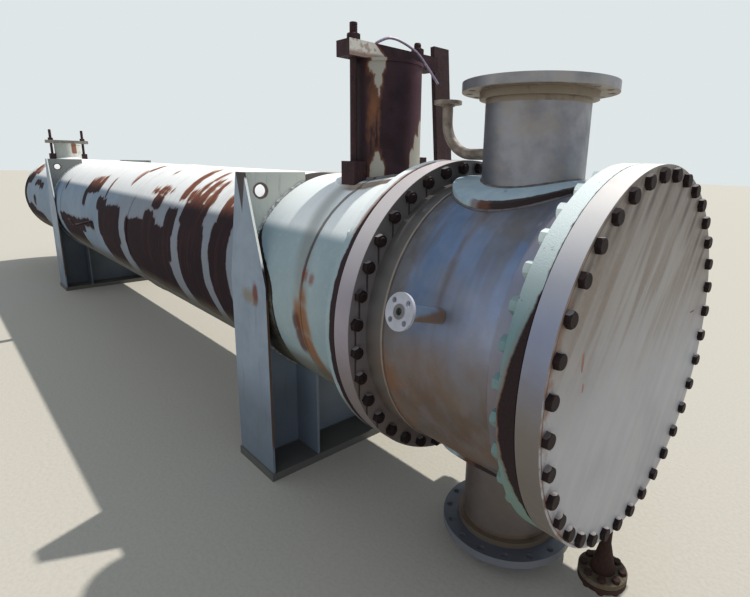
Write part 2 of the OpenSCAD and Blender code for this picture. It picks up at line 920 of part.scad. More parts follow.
// Bracket on the near side of the shell
module side_bracket() {
    color("#3a2522")
        difference() {
            translate([-bracket_reach, -shell_r, axis_height + bracket_rise])
                rotate([bracket_fall, 0, 0])
                    translate([-bracket_width / 2, -bracket_arm, -bracket_thick]) {
                        cube([bracket_width, bracket_arm + bracket_thick, bracket_thick]);
                        rotate([bracket_lean, 0, 0])
                            cube([bracket_width, bracket_thick, bracket_upturn]);
                    }
            along(-bracket_reach - bracket_width)
                cylinder(d = shell_od + 2 * fit_gap, h = 2 * bracket_width);
        }
}

channel_cover();
cover_gasket();
channel_front_flange();
channel_barrel();
tubesheet();
tubesheet_gasket();
shell_flange();
shell_front_course();
shell_middle_course();
shell_long_course();
shell_rear_course();
rear_head();
top_nozzle_neck();
top_nozzle_flange();
top_nozzle_pad();
bottom_nozzle_neck();
bottom_nozzle_flange();
bottom_nozzle_pad();
instrument_nozzle();
vent_pipe();
vent_flange();
drain_pipe();
drain_flange();
drain_blind();
front_nozzle_neck();
front_nozzle_pad();
front_nozzle_blind();
front_clamp_bar();
front_clamp_lugs();
front_upright_bar();
rear_nozzle_neck();
rear_nozzle_pad();
rear_nozzle_blind();
rear_clamp_bar();
rear_clamp_lugs();
front_support_web();
front_support_sides();
front_support_ribs();
front_support_base();
rear_support_web();
rear_support_sides();
rear_support_ribs();
rear_support_base();
side_bracket();
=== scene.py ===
import math
import random

import bpy
from mathutils import Matrix, Vector


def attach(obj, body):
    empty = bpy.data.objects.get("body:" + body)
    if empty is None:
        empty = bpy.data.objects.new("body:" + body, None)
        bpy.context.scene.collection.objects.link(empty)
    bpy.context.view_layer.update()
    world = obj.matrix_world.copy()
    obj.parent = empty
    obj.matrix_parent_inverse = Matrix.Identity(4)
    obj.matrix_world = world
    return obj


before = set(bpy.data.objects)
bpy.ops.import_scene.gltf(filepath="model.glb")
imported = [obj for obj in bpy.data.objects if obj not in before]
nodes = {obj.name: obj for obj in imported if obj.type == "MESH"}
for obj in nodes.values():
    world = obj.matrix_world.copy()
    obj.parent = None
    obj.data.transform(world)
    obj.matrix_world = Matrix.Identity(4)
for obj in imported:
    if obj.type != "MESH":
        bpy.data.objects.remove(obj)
scene = bpy.context.scene
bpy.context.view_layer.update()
chance = random.Random(7)

# Sizes in metres, the same as in the part's source
AXIS = 1.065
SHELL_R = 0.6
BODY_FLANGE_R = 0.688
COVER_FACE = 1.817
FLANGE_FACE = 1.735
FLANGE_BACK = 1.673
TUBESHEET_FACE = 0.973
SHELL_FLANGE_FACE = 0.879
SHELL_FLANGE_BACK = 0.821
HUB = 0.096
JOINT_BOLTS = 36
JOINT_CIRCLE = 1.31
JOINT_BOLT_D = 0.03
JOINT_FLATS = 0.046
JOINT_HEAD = 0.019
JOINT_NUT = 0.024
INSTRUMENT_FACE = (1.343, -0.768, 1.285)
INSTRUMENT_TILT = 16
RUN_LEAN = 34
NOZZLE_X = 1.298
NOZZLE_R = 0.2032
NOZZLE_FLANGE_UNDER = 0.945
PAD_R = 0.32
PAD_THICK = 0.022
SEAMS = (0.491, -2.214, -4.919, -7.624)
SHELL_NOZZLE_R = 0.1778
SHELL_PAD_R = 0.26
SHELL_PAD_THICK = 0.010
FRONT_NOZZLE_X = 0.402
REAR_NOZZLE_X = -7.354
STUD_OFFSET = 0.214
STUD_R = 0.0195
WEB_X = -0.030
WEB_THICK = 0.016
LIFTING_HOLE = (0.503, 1.574, 0.0)
SUPPORTS = (0.0, -5.324)
DRAIN_X = 1.771
DRAIN_FACE = 0.118

# Windows in the rear paint where the primer shows: from and to along the vessel, then in degrees up its side
PRIMER_WINDOWS = (
    (-0.530, -0.285, -34, 30), (-0.500, -0.270, 26, 50), (-1.040, -0.640, -34, 26), (-1.070, -0.680, 22, 40),
    (-1.090, -0.640, 36, 49), (-0.990, -0.650, 45, 56), (-0.880, -0.670, 52, 62), (-0.930, -0.880, 56, 75),
    (-1.235, -1.110, 38, 79), (-2.240, -1.230, -34, 0), (-2.260, -1.170, -6, 17), (-1.800, -1.580, 12, 25),
    (-1.700, -1.500, 12, 21), (-1.340, -1.140, 12, 31), (-1.820, -1.500, 39, 45), (-1.680, -1.410, 42, 48),
    (-1.700, -1.500, 29, 40), (-2.500, -2.380, 44, 66), (-2.420, -2.310, 60, 78), (-1.800, -1.750, 60, 70),
    (-3.780, -3.420, 28, 47), (-3.520, -3.290, 30, 50), (-3.820, -3.680, 14, 32), (-3.020, -2.970, 25, 50),
    (-3.100, -2.500, -34, -8), (-3.130, -2.420, -10, 21), (-3.220, -2.900, 14, 27), (-2.700, -2.420, 12, 22),
    (-4.790, -4.710, 26, 39), (-4.950, -3.950, -34, -12), (-4.950, -3.750, -14, -1), (-3.850, -3.330, -6, 2))
FAR_WINDOWS = (
    (-7.620, -7.200, 24, 42), (-7.500, -6.950, 38, 56), (-7.900, -7.450, -17, 30), (-6.850, -6.450, 20, 29),
    (-6.550, -6.200, 16, 25), (-6.850, -6.640, -8, 6), (-7.800, -6.900, -50, -10), (-7.100, -6.300, -50, -16))
WINDOW_LEAN = 0.002


# Camera
def make_camera():
    """The photograph's own camera, solved from the vessel's straight lines."""
    yaw, pitch, roll = (math.radians(a) for a in (135.579, -13.138, 1.33))
    look = Vector((math.cos(yaw) * math.cos(pitch), math.sin(yaw) * math.cos(pitch), math.sin(pitch)))
    side = Vector((math.sin(yaw), -math.cos(yaw), 0))
    above = side.cross(look)
    right = math.cos(roll) * side + math.sin(roll) * above
    up = math.cos(roll) * above - math.sin(roll) * side
    data = bpy.data.cameras.new("camera")
    data.sensor_width = 36
    data.lens = 23.815
    data.shift_x = -0.0471
    data.shift_y = -0.02865
    data.clip_start = 0.05
    data.clip_end = 200
    camera = bpy.data.objects.new("camera", data)
    scene.collection.objects.link(camera)
    turn = Matrix((right, up, -look)).transposed().to_4x4()
    camera.matrix_world = Matrix.Translation((2.425, -1.783, 1.743)) @ turn
    scene.camera = camera


make_camera()


# Shader helpers
def linear(code):
    """Scene linear colour of an sRGB hex code."""
    parts = [int(code[i:i + 2], 16) / 255 for i in (1, 3, 5)]
    return [*(c / 12.92 if c <= 0.04045 else ((c + 0.055) / 1.055) ** 2.4 for c in parts), 1.0]


def add(tree, kind, inputs, **settings):
    """Adds one node with its settings and inputs, and gives its live outputs."""
    node = tree.nodes.new("ShaderNode" + kind)
    for name, value in settings.items():
        setattr(node, name, value)
    for key, value in inputs.items():
        if isinstance(value, bpy.types.NodeSocket):
            tree.links.new(value, node.inputs[key])
        else:
            node.inputs[key].default_value = value
    return [out for out in node.outputs if out.enabled]


def begin(name):
    """An empty material and its place in the object's own coordinates, in metres."""
    material = bpy.data.materials.new(name)
    material.use_nodes = True
    tree = material.node_tree
    tree.nodes.clear()
    place = add(tree, "TexCoord", {})[3]
    return material, tree, place


def speckle(tree, place, size, low, high, stretch=(1, 1, 1), lean=0.0, detail=4.0):
    """A mask of blotches of that size in millimetres; low and high set its cover, lean turns it about X."""
    turn = (math.radians(lean), 0, 0)
    inputs = {"Vector": place, "Rotation": turn, "Scale": [size / 1000 * s for s in stretch]}
    spot = add(tree, "Mapping", inputs, vector_type="TEXTURE")[0]
    noise = add(tree, "TexNoise", {"Vector": spot, "Scale": 1.0, "Detail": detail, "Roughness": 0.6})[0]
    return add(tree, "MapRange", {0: noise, 1: low, 2: high}, interpolation_type="SMOOTHSTEP")[0]


def between(tree, value, low, high, soft):
    """A mask that is 1 where value lies from low to high, with soft edges."""
    off = add(tree, "Math", {0: value, 1: (low + high) / 2}, operation="SUBTRACT")[0]
    off = add(tree, "Math", {0: off}, operation="ABSOLUTE")[0]
    half = (high - low) / 2
    inside = {0: off, 1: half + soft / 2, 2: half - soft / 2}
    return add(tree, "MapRange", inside, interpolation_type="SMOOTHSTEP")[0]


def beyond(tree, value, edge, soft):
    """A mask that is 1 where value is past the edge, or short of it where soft is negative."""
    ramp = {0: value, 1: edge - soft / 2, 2: edge + soft / 2}
    return add(tree, "MapRange", ramp, interpolation_type="SMOOTHSTEP")[0]


def wander(tree, place, value, amount, size, stretch=(1, 1, 1)):
    """The value pushed about by noise of that size in millimetres, so that an edge made from it is ragged."""
    inputs = {"Vector": place, "Scale": [size / 1000 * s for s in stretch]}
    spot = add(tree, "Mapping", inputs, vector_type="TEXTURE")[0]
    noise = add(tree, "TexNoise", {"Vector": spot, "Scale": 1.0, "Detail": 5.0, "Roughness": 0.65})[0]
    push = add(tree, "Math", {0: noise, 1: amount, 2: -amount / 2}, operation="MULTIPLY_ADD")[0]
    return add(tree, "Math", {0: value, 1: push}, operation="ADD")[0]


def patches(tree, first, second, rows, soft):
    """A mask of the oblong patches in rows, each from and to in two coordinates."""
    mask = 0.0
    for start, end, low, high in rows:
        along = between(tree, first, start, end, soft[0])
        across = between(tree, second, low, high, soft[1])
        patch = add(tree, "Math", {0: along, 1: across}, operation="MULTIPLY")[0]
        mask = add(tree, "Math", {0: mask, 1: patch}, operation="MAXIMUM")[0]
    return mask


def torn(tree, place, mask, size, stretch=(1, 1, 1), share=0.8):
    """A soft mask cut ragged by noise of that size in millimetres, and the wider fringe round it."""
    ragged = wander(tree, place, mask, share, size, stretch)
    cut = add(tree, "MapRange", {0: ragged, 1: 0.44, 2: 0.56})[0]
    fringe = add(tree, "MapRange", {0: ragged, 1: 0.22, 2: 0.50})[0]
    return cut, fringe


def coats(tree, base, *layers):
    """Colour layers over a base, each as its colour and then masks or shares that multiply."""
    for shade, mask, *others in layers:
        for other in others:
            mask = add(tree, "Math", {0: mask, 1: other}, operation="MULTIPLY")[0]
        shade = linear(shade) if isinstance(shade, str) else shade
        under = linear(base) if isinstance(base, str) else base
        base = add(tree, "Mix", {0: mask, 6: under, 7: shade}, data_type="RGBA")[0]
    return base


def polar(tree, place):
    """Along, across, height above the axis, distance from it and degrees up the side, 90 at the top."""
    x, y, z = add(tree, "SeparateXYZ", {0: place})
    rise = add(tree, "Math", {0: z, 1: AXIS}, operation="SUBTRACT")[0]
    flat = add(tree, "CombineXYZ", {0: y, 1: rise})[0]
    out = add(tree, "VectorMath", {0: flat}, operation="LENGTH")[0]
    aside = add(tree, "Math", {0: y}, operation="ABSOLUTE")[0]
    angle = add(tree, "Math", {0: rise, 1: aside}, operation="ARCTAN2")[0]
    degrees = add(tree, "Math", {0: angle}, operation="DEGREES")[0]
    return x, y, rise, out, degrees


def from_upright(tree, x, y, centre):
    """How far x lies past an upright line through the vessel's axis, and the distance from that line."""
    off = add(tree, "Math", {0: x, 1: centre}, operation="SUBTRACT")[0]
    flat = add(tree, "CombineXYZ", {0: off, 1: y})[0]
    return off, add(tree, "VectorMath", {0: flat}, operation="LENGTH")[0]


def close_up(material, tree, colour, roughness, metallic, height, depth, gloss=0.5):
    """Ends a material: colour, roughness as (mask, low, high), and bump in metres; rust has less gloss."""
    mask, low, high = roughness
    dull = add(tree, "MapRange", {0: mask, 3: low, 4: high})[0]
    normal = add(tree, "Bump", {"Strength": 1.0, "Distance": depth, "Height": height})[0]
    inputs = {"Base Color": colour, "Roughness": dull, "Metallic": metallic, "Normal": normal}
    inputs["Specular IOR Level"] = gloss
    shader = add(tree, "BsdfPrincipled", inputs)[0]
    tree.links.new(shader, tree.nodes.new("ShaderNodeOutputMaterial").inputs[0])
    return material


# Materials
# Steel's and paint's own grain is under 1 mm and too fine to show, so it is drawn 2 to 12 mm wide
def bolt_spots(first, last):
    """Across and above the vessel's axis, the joint bolts from one angle to another in degrees."""
    spots = []
    for degrees in range(first, last + 1, 360 // JOINT_BOLTS):
        a = math.radians(degrees)
        spots.append((JOINT_CIRCLE / 2 * math.cos(a), JOINT_CIRCLE / 2 * math.sin(a)))
    return spots


def cover_drips(tree, place, y, rise):
    """Dark runs on the cover that lean down from its upper bolts."""
    half_width = 0.014
    length = 0.16
    lean_cos = math.cos(math.radians(RUN_LEAN))
    lean_sin = math.sin(math.radians(RUN_LEAN))
    aslant = add(tree, "CombineXYZ", {0: 0.0, 1: y, 2: rise})[0]
    across = add(tree, "VectorMath", {0: aslant, 1: (0, lean_cos, -lean_sin)}, operation="DOT_PRODUCT")[0]
    along = add(tree, "VectorMath", {0: aslant, 1: (0, lean_sin, lean_cos)}, operation="DOT_PRODUCT")[0]
    rows = []
    for bolt_y, bolt_z in bolt_spots(35, 145):
        middle = bolt_y * lean_cos - bolt_z * lean_sin
        top = bolt_y * lean_sin + bolt_z * lean_cos
        rows.append((middle - half_width, middle + half_width, top - length, top))
    return patches(tree, wander(tree, place, across, 0.012, 50), along, rows, (0.026, length))


def cover_rim(tree, place, rise):
    """The cover's turned rim: pale on top where sunlight is painted, lilac on the side and brown below."""
    film = speckle(tree, place, 250, 0.3, 0.8)
    # Painted sunlight: the top of the rim is near white
    top = beyond(tree, rise, 0.42, 0.4)
    low = beyond(tree, wander(tree, place, rise, 0.2, 200), 0.06, -0.3)
    return coats(tree, "#8b91a6", ("#7f8396", film), ("#ece7e2", top), ("#746a5e", low, 0.9))


def cover_plate():
    """Flat plate, milled and oiled: blue grey, browner at the top, leaning runs, rusty near edge."""
    material, tree, place = begin("milled_cover_plate_oiled")
    x, y, rise, out, _ = polar(tree, place)
    cloud = speckle(tree, place, 350, 0.35, 0.7)
    fine = speckle(tree, place, 12, 0.35, 0.75)
    runs = speckle(tree, place, 90, 0.44, 0.60, stretch=(1, 0.6, 6), lean=-RUN_LEAN, detail=1.5)
    soft_runs = speckle(tree, place, 60, 0.40, 0.75, stretch=(1, 0.6, 7), lean=-RUN_LEAN, detail=1.5)
    upper = beyond(tree, wander(tree, place, rise, 0.3, 400), 0.10, 0.5)
    brown_top = between(tree, wander(tree, place, out, 0.15, 200), 0.46, 0.8, 0.3)
    drips = cover_drips(tree, place, y, rise)

    # Rust along the near edge: a thin line, a film between the bolts, small spots, and two flakes beside it
    ring = between(tree, out, BODY_FLANGE_R - 0.013, BODY_FLANGE_R - 0.008, 0.003)
    band = between(tree, wander(tree, place, out, 0.05, 80), 0.650, 0.70, 0.03)
    streaky = speckle(tree, place, 50, 0.40, 0.62)
    near_edge = beyond(tree, y, -0.36, -0.20)
    left_band = between(tree, wander(tree, place, rise, 0.2, 100), -0.60, 0.34, 0.2)
    rust_spots = speckle(tree, place, 22, 0.64, 0.72)
    near_bolts = between(tree, out, 0.60, 0.70, 0.06)
    flake_rows = ((-0.486, -0.472, 0.09, 0.15), (-0.468, -0.456, 0.02, 0.05))
    soft_flakes = patches(tree, y, rise, flake_rows, (0.010, 0.04))
    flakes = torn(tree, place, soft_flakes, 15)[0]
    scratch = patches(tree, y, rise, ((0.47, 0.52, 0.080, 0.086),), (0.02, 0.004))
    rim = beyond(tree, x, COVER_FACE - 0.0015, -0.001)
    colour = coats(
        tree, "#acadb2", ("#9e9fa5", cloud), ("#9f9994", upper, 0.75), ("#7a6c61", upper, brown_top, 0.6),
        ("#72665d", runs, upper, 0.8), ("#bcb8b6", soft_runs, 0.12), ("#b0a8a1", fine, 0.15),
        ("#4a3d36", drips, 0.8), ("#80604e", band, streaky, near_edge, left_band, 0.8),
        ("#55342a", ring, near_edge, 0.8), ("#7a4834", rust_spots, near_bolts, near_edge, 0.9),
        ("#8a5238", flakes, 0.8), ("#2b2422", scratch), (cover_rim(tree, place, rise), rim))
    height = add(tree, "Math", {0: fine, 1: 0.3, 2: soft_runs}, operation="MULTIPLY_ADD")[0]
    return close_up(material, tree, colour, (runs, 0.55, 0.45), 0.12, height, 0.0003)


def mint_flange():
    """Forged flange in faded paint, teal as it looks in shade and near white on top as painted sunlight, with
    a black stain creeping over its rim.
    """
    material, tree, place = begin("forged_flange_mint_paint")
    x, _, rise, out, angle = polar(tree, place)
    ragged = wander(tree, place, x, 0.024, 50)
    reach = between(tree, wander(tree, place, angle, 8.0, 100), -22.0, 15.0, 38.0)
    width = 0.058
    edge = FLANGE_FACE - 0.001
    start = add(tree, "Math", {0: reach, 1: -width, 2: edge}, operation="MULTIPLY_ADD")[0]
    past = add(tree, "Math", {0: ragged, 1: start}, operation="SUBTRACT")[0]
    stain = add(tree, "MapRange", {0: past, 1: -0.002, 2: 0.005})[0]
    border = add(tree, "MapRange", {0: past, 1: -0.020, 2: 0.002})[0]
    on_rim = beyond(tree, out, 0.68, 0.004)
    chips = speckle(tree, place, 30, 0.66, 0.70)
    cloud = speckle(tree, place, 200, 0.3, 0.75)
    grain = speckle(tree, place, 6, 0.3, 0.75)
    under = beyond(tree, rise, -0.1, -0.7)
    # Painted sunlight: crown turns the flange's top near white over its shaded teal
    crown = beyond(tree, rise, 0.38, 0.35)
    paint = coats(tree, "#728f92", ("#6b898c", cloud), ("#778f86", under), ("#f0faf6", crown))
    black = coats(tree, "#261b1e", ("#3a2624", grain, 0.5))
    colour = coats(
        tree, paint, ("#6b4a3a", chips, 0.7), ("#7d5540", border, reach, on_rim, 0.9), (black, stain, on_rim))
    height = add(tree, "Math", {0: stain, 1: grain}, operation="ADD")[0]
    return close_up(material, tree, colour, (stain, 0.5, 0.85), 0.0, height, 0.0005, gloss=0.25)


def barrel_steel():
    """Rolled plate with worn mill scale: grey clouds and streaks round it, blue above as painted sky
    reflection, a pale painted highlight in front, and brown below that is partly rust film and partly painted
    reflection of the ground.
    """
    material, tree, place = begin("rolled_plate_mill_scale")
    x, _, rise, _, angle = polar(tree, place)
    cloud = speckle(tree, place, 160, 0.38, 0.64, detail=2.5)
    blue_cloud = speckle(tree, place, 220, 0.44, 0.60, detail=2.0)
    streaks = speckle(tree, place, 90, 0.46, 0.62, stretch=(1, 9, 9), detail=2.0)
    grain = speckle(tree, place, 4, 0.3, 0.8)
    film = speckle(tree, place, 140, 0.42, 0.66)
    mottle = speckle(tree, place, 80, 0.44, 0.62, stretch=(1, 1.6, 1.6), detail=3.0)
    dots = speckle(tree, place, 16, 0.77, 0.80)
    under = beyond(tree, wander(tree, place, rise, 0.25, 300), 0.0, -0.4)
    above = beyond(tree, wander(tree, place, rise, 0.2, 300), 0.04, 0.4)
    ragged_x = wander(tree, place, x, 0.05, 150)
    back_part = beyond(tree, ragged_x, 1.13, -0.10)
    left_part = beyond(tree, ragged_x, 1.16, -0.16)
    blue_band = between(tree, ragged_x, 1.17, 1.29, 0.08)
    brown_line = between(tree, wander(tree, place, x, 0.02, 80), 1.315, 1.335, 0.03)
    line_height = between(tree, angle, 15.0, 70.0, 25.0)
    front_part = between(tree, wander(tree, place, x, 0.15, 200), 1.42, 1.8, 0.25)
    glow = between(tree, wander(tree, place, rise, 0.15, 200), 0.05, 0.28, 0.3)
    low_left = between(tree, wander(tree, place, rise, 0.15, 200), -0.44, -0.06, 0.2)
    front_hub = beyond(tree, wander(tree, place, x, 0.008, 60), FLANGE_BACK - HUB, 0.008)
    back_hub = beyond(tree, wander(tree, place, x, 0.004, 60), TUBESHEET_FACE + HUB, -0.005)
    hub_line = between(tree, x, TUBESHEET_FACE + HUB - 0.010, TUBESHEET_FACE + HUB + 0.004, 0.005)
    dark_line = between(tree, x, TUBESHEET_FACE + HUB + 0.004, TUBESHEET_FACE + HUB + 0.012, 0.005)
    # Painted light: blue above is painted sky reflection, the pale patch in front is a painted highlight, the
    # brown below is partly painted ground reflection
    colour = coats(
        tree, "#7f7a7a", ("#6f6b6c", cloud), ("#656f85", above, 0.75), ("#627ca3", blue_cloud, above, 0.8),
        ("#4f688b", blue_band, above, 0.75), ("#5c5550", streaks, above, 0.6),
        ("#534e4a", back_part, above, 0.85),
        ("#5a4640", brown_line, line_height, 0.6), ("#a5afca", glow, front_part, 0.75),
        ("#6b5b4e", under, 0.85), ("#87766a", cloud, under, 0.6),
        ("#7b7980", mottle, under, 0.5), ("#7c8596", mottle, above, 0.25),
        ("#93633f", film, low_left, left_part, 0.8), ("#755139", film, under, 0.4),
        ("#837f8a", front_hub, 0.6), ("#6e6a66", back_hub, 0.7), ("#a3968a", hub_line, 0.7),
        ("#4a4441", dark_line, 0.6), ("#d5d4d2", dots, 0.8))
    return close_up(material, tree, colour, (cloud, 0.42, 0.6), 0.35, grain, 0.0002)


def tubesheet_steel():
    """Forged tube plate, bare: a lilac grey rim with painted sunlight on its top and darker below, a darker
    step and a thin black run below each nut.
    """
    material, tree, place = begin("forged_tube_plate_bare")
    x, y, rise, _, _ = polar(tree, place)
    cloud = speckle(tree, place, 300, 0.35, 0.7)
    grain = speckle(tree, place, 5, 0.3, 0.8)
    face = beyond(tree, x, TUBESHEET_FACE - 0.002, 0.001)
    below = beyond(tree, rise, -0.1, -0.3)
    # Painted sunlight: crown makes the rim's top pale
    crown = beyond(tree, rise, 0.3, 0.3)
    half_width = 0.0045
    length = 0.10
    rows = []
    for nut_y, nut_z in bolt_spots(-35, 65):
        rows.append((nut_y - half_width, nut_y + half_width, nut_z - length, nut_z))
    aside = add(tree, "Math", {0: y}, operation="ABSOLUTE")[0]
    drips = patches(tree, wander(tree, place, aside, 0.006, 30), rise, rows, (0.004, 0.05))
    colour = coats(
        tree, "#9a929c", ("#8f8791", cloud), ("#7f7472", below, 0.8), ("#d8cfce", crown, 0.9),
        ("#716b6d", face, 0.9), ("#5b5856", face, crown, 0.7), ("#6f5a4c", face, below, cloud, 0.5),
        ("#241a1a", drips, face, 0.9))
    return close_up(material, tree, colour, (cloud, 0.45, 0.65), 0.25, grain, 0.0003)


def seam_rust(tree, place, x, leaning, angle):
    """Layers of the front part's rusty seam: worn band and bead, the rust on it, two spots beside it."""
    seam_rows = ((0.430, 0.545, -14.0, 4.0), (0.490, 0.550, 0.0, 10.0), (0.440, 0.530, -44.0, -10.0))
    seam = patches(tree, leaning, angle, seam_rows, (0.06, 12.0))
    fringe = wander(tree, place, seam, 0.5, 50, stretch=(1, 3, 3))
    rust = add(tree, "MapRange", {0: fringe, 1: 0.35, 2: 0.95})[0]
    deep_rows = ((0.410, 0.485, -13.0, -2.0), (0.420, 0.490, -24.0, -8.0))
    deep = patches(tree, x, angle, deep_rows, (0.05, 9.0))
    deep = wander(tree, place, deep, 0.7, 40, stretch=(1, 2, 2))
    deep = add(tree, "MapRange", {0: deep, 1: 0.3, 2: 0.9})[0]
    band = patches(tree, leaning, angle, ((0.455, 0.555, 6.0, 75.0),), (0.08, 24.0))
    ragged_x = wander(tree, place, x, 0.008, 30)
    bead_line = patches(tree, ragged_x, angle, ((0.490, 0.504, 8.0, 80.0),), (0.006, 10.0))
    spots = patches(tree, x, angle, ((0.484, 0.528, 12.5, 18.0), (0.541, 0.582, 11.5, 17.0)), (0.035, 4.5))
    spots = add(tree, "MapRange", {0: wander(tree, place, spots, 0.8, 12), 1: 0.25, 2: 0.95})[0]
    return (("#7f7e79", band, 0.55), ("#4a3530", bead_line, 0.7), ("#94785c", fringe, 0.65),
            ("#8a5a36", rust, 0.8), ("#5a2c20", deep, 0.85), ("#83483a", spots, 0.75))


def nozzle_foot_rust(tree, place, x, y, top):
    """Layers of the rust round the front nozzle's foot, on the cover's side of it."""
    reach = from_upright(tree, x, y, FRONT_NOZZLE_X)[1]
    outer = between(tree, wander(tree, place, reach, 0.05, 60), 0.244, 0.285, 0.02)
    inner = between(tree, wander(tree, place, reach, 0.05, 60), 0.10, 0.215, 0.02)
    cover_side = beyond(tree, x, 0.40, 0.08)
    return ("#7a5636", outer, top, cover_side, 0.75), ("#3a2426", inner, top, cover_side, 0.8)


def beside_web(tree, place, x, rise, cloud):
    """Layers of the dark zone beside the front support's web, wider below, partly unpainted rusty plate and
    partly painted shade in the pocket by the side plate, and of its black edge, a painted shadow line.
    """
    mottle = speckle(tree, place, 30, 0.42, 0.62)
    # Partly painted shade: the pocket between the side plate and the shell
    bend = {0: rise, 1: 0.02, 2: 0.36, 3: 0.228, 4: -0.02}
    edge = add(tree, "MapRange", bend, interpolation_type="SMOOTHSTEP")[0]
    gap = add(tree, "Math", {0: wander(tree, place, x, 0.014, 30), 1: edge}, operation="SUBTRACT")[0]
    dark = add(tree, "MapRange", {0: gap, 1: 0.006, 2: -0.006})[0]
    line = between(tree, gap, -0.007, 0.007, 0.006)
    high = beyond(tree, rise, 0.0, 0.05)
    colour = coats(tree, "#4b4f47", ("#5d6159", cloud, 0.6), ("#2b201c", high), ("#3a2c24", mottle))
    return (colour, dark), ("#1d1613", line)


def primer_windows(tree, place, x, along, angle, lit):
    """Masks of the windows in the rear paint and of their fringe, torn and streaky round the vessel."""
    window = patches(tree, along, wander(tree, place, angle, 9.0, 150), PRIMER_WINDOWS, (0.08, 12.0))
    far_along = wander(tree, place, x, 0.5, 400)
    far_window = patches(tree, far_along, wander(tree, place, angle, 20.0, 500), FAR_WINDOWS, (0.2, 12.0))
    window = add(tree, "Math", {0: window, 1: far_window}, operation="MAXIMUM")[0]
    paint_streaks = speckle(tree, place, 50, 0.42, 0.62, stretch=(1, 9, 9))
    thinned = add(tree, "Math", {0: paint_streaks, 1: lit}, operation="MULTIPLY")[0]
    window = add(tree, "Math", {0: thinned, 1: -0.55, 2: window}, operation="MULTIPLY_ADD")[0]
    return torn(tree, place, window, 60, stretch=(1, 6, 6), share=1.0)


def joint_stain(tree, place, x, angle, top):
    """Layers of the dark stain on the shell flange's rim, at the joint, and the rust above it."""
    reach = between(tree, angle, -60.0, 36.0, 40.0)
    width = 0.026
    edge = SHELL_FLANGE_FACE - 0.006
    start = add(tree, "Math", {0: reach, 1: -width, 2: edge}, operation="MULTIPLY_ADD")[0]
    past = add(tree, "Math", {0: wander(tree, place, x, 0.022, 60), 1: start}, operation="SUBTRACT")[0]
    stain = add(tree, "MapRange", {0: past, 1: -0.002, 2: 0.003})[0]
    rusty = add(tree, "MapRange", {0: past, 1: -0.022, 2: -0.006})[0]
    return ("#8a553f", rusty, top, 0.8), ("#2a1a20", stain)


def shell_paint():
    """Rolled plate in old paint: blue green in front, pale with windows of dark primer behind, rusty seam.
    The paint is written as it looks in shade, its top as painted sunlight and its underside as grey-brown
    painted shade.
    """
    material, tree, place = begin("shell_plate_weathered_paint")
    x, y, rise, _, angle = polar(tree, place)
    cloud = speckle(tree, place, 250, 0.3, 0.75)
    grain = speckle(tree, place, 5, 0.3, 0.8)
    chalk = speckle(tree, place, 30, 0.5, 0.8)
    specks = speckle(tree, place, 12, 0.72, 0.75)
    streaks = speckle(tree, place, 30, 0.50, 0.68, stretch=(1, 12, 12))
    # Painted light: under is grey-brown painted shade on the underside; lit and top mark the upper side that
    # takes painted sunlight
    under = beyond(tree, wander(tree, place, angle, 10.0, 150), -28.0, -12.0)
    lit = beyond(tree, wander(tree, place, angle, 10.0, 200), 38.0, 12.0)
    top = beyond(tree, angle, 35.0, 6.0)
    leaning = add(tree, "Math", {0: angle, 1: WINDOW_LEAN, 2: x}, operation="MULTIPLY_ADD")[0]
    front = coats(
        tree, "#94a8ae", ("#9eb0b4", cloud), ("#b8c4c2", chalk, 0.3), ("#f6fbf8", top),
        *seam_rust(tree, place, x, leaning, angle), ("#4a3a34", specks, 0.7),
        *nozzle_foot_rust(tree, place, x, y, top), *beside_web(tree, place, x, rise, cloud))

    # The pale rear part, a little warmer towards the front support; its base is the paint as it looks in
    # shade, with painted sunlight on top and on the fringe
    along = wander(tree, place, leaning, 0.07, 200)
    primer, fringe = primer_windows(tree, place, x, along, angle, lit)
    # The primer as it looks in shade, turned orange brown by painted sunlight where lit
    dark_primer = coats(
        tree, "#21161d", ("#2c1d22", cloud), ("#54312a", streaks, 0.3), ("#84503f", lit, 0.9),
        ("#b98460", streaks, lit, 0.45))
    nearer = between(tree, x, -2.6, 0.0, 1.0)
    rear = coats(
        tree, "#778a9c", ("#8495a6", cloud), ("#837f80", nearer, 0.5), ("#6f7880", chalk, 0.3),
        ("#fafaf6", top), ("#6a5048", fringe, 0.4), ("#c08a62", fringe, lit, 0.7),
        ("#c9a184", streaks, top, 0.25), (dark_primer, primer))
    behind = beyond(tree, along, -0.02, -0.02)
    colour = coats(
        tree, front, (rear, behind), ("#6a6354", under, 0.75), *joint_stain(tree, place, x, angle, top))
    return close_up(material, tree, colour, (primer, 0.6, 0.9), 0.0, grain, 0.0004, gloss=0.15)


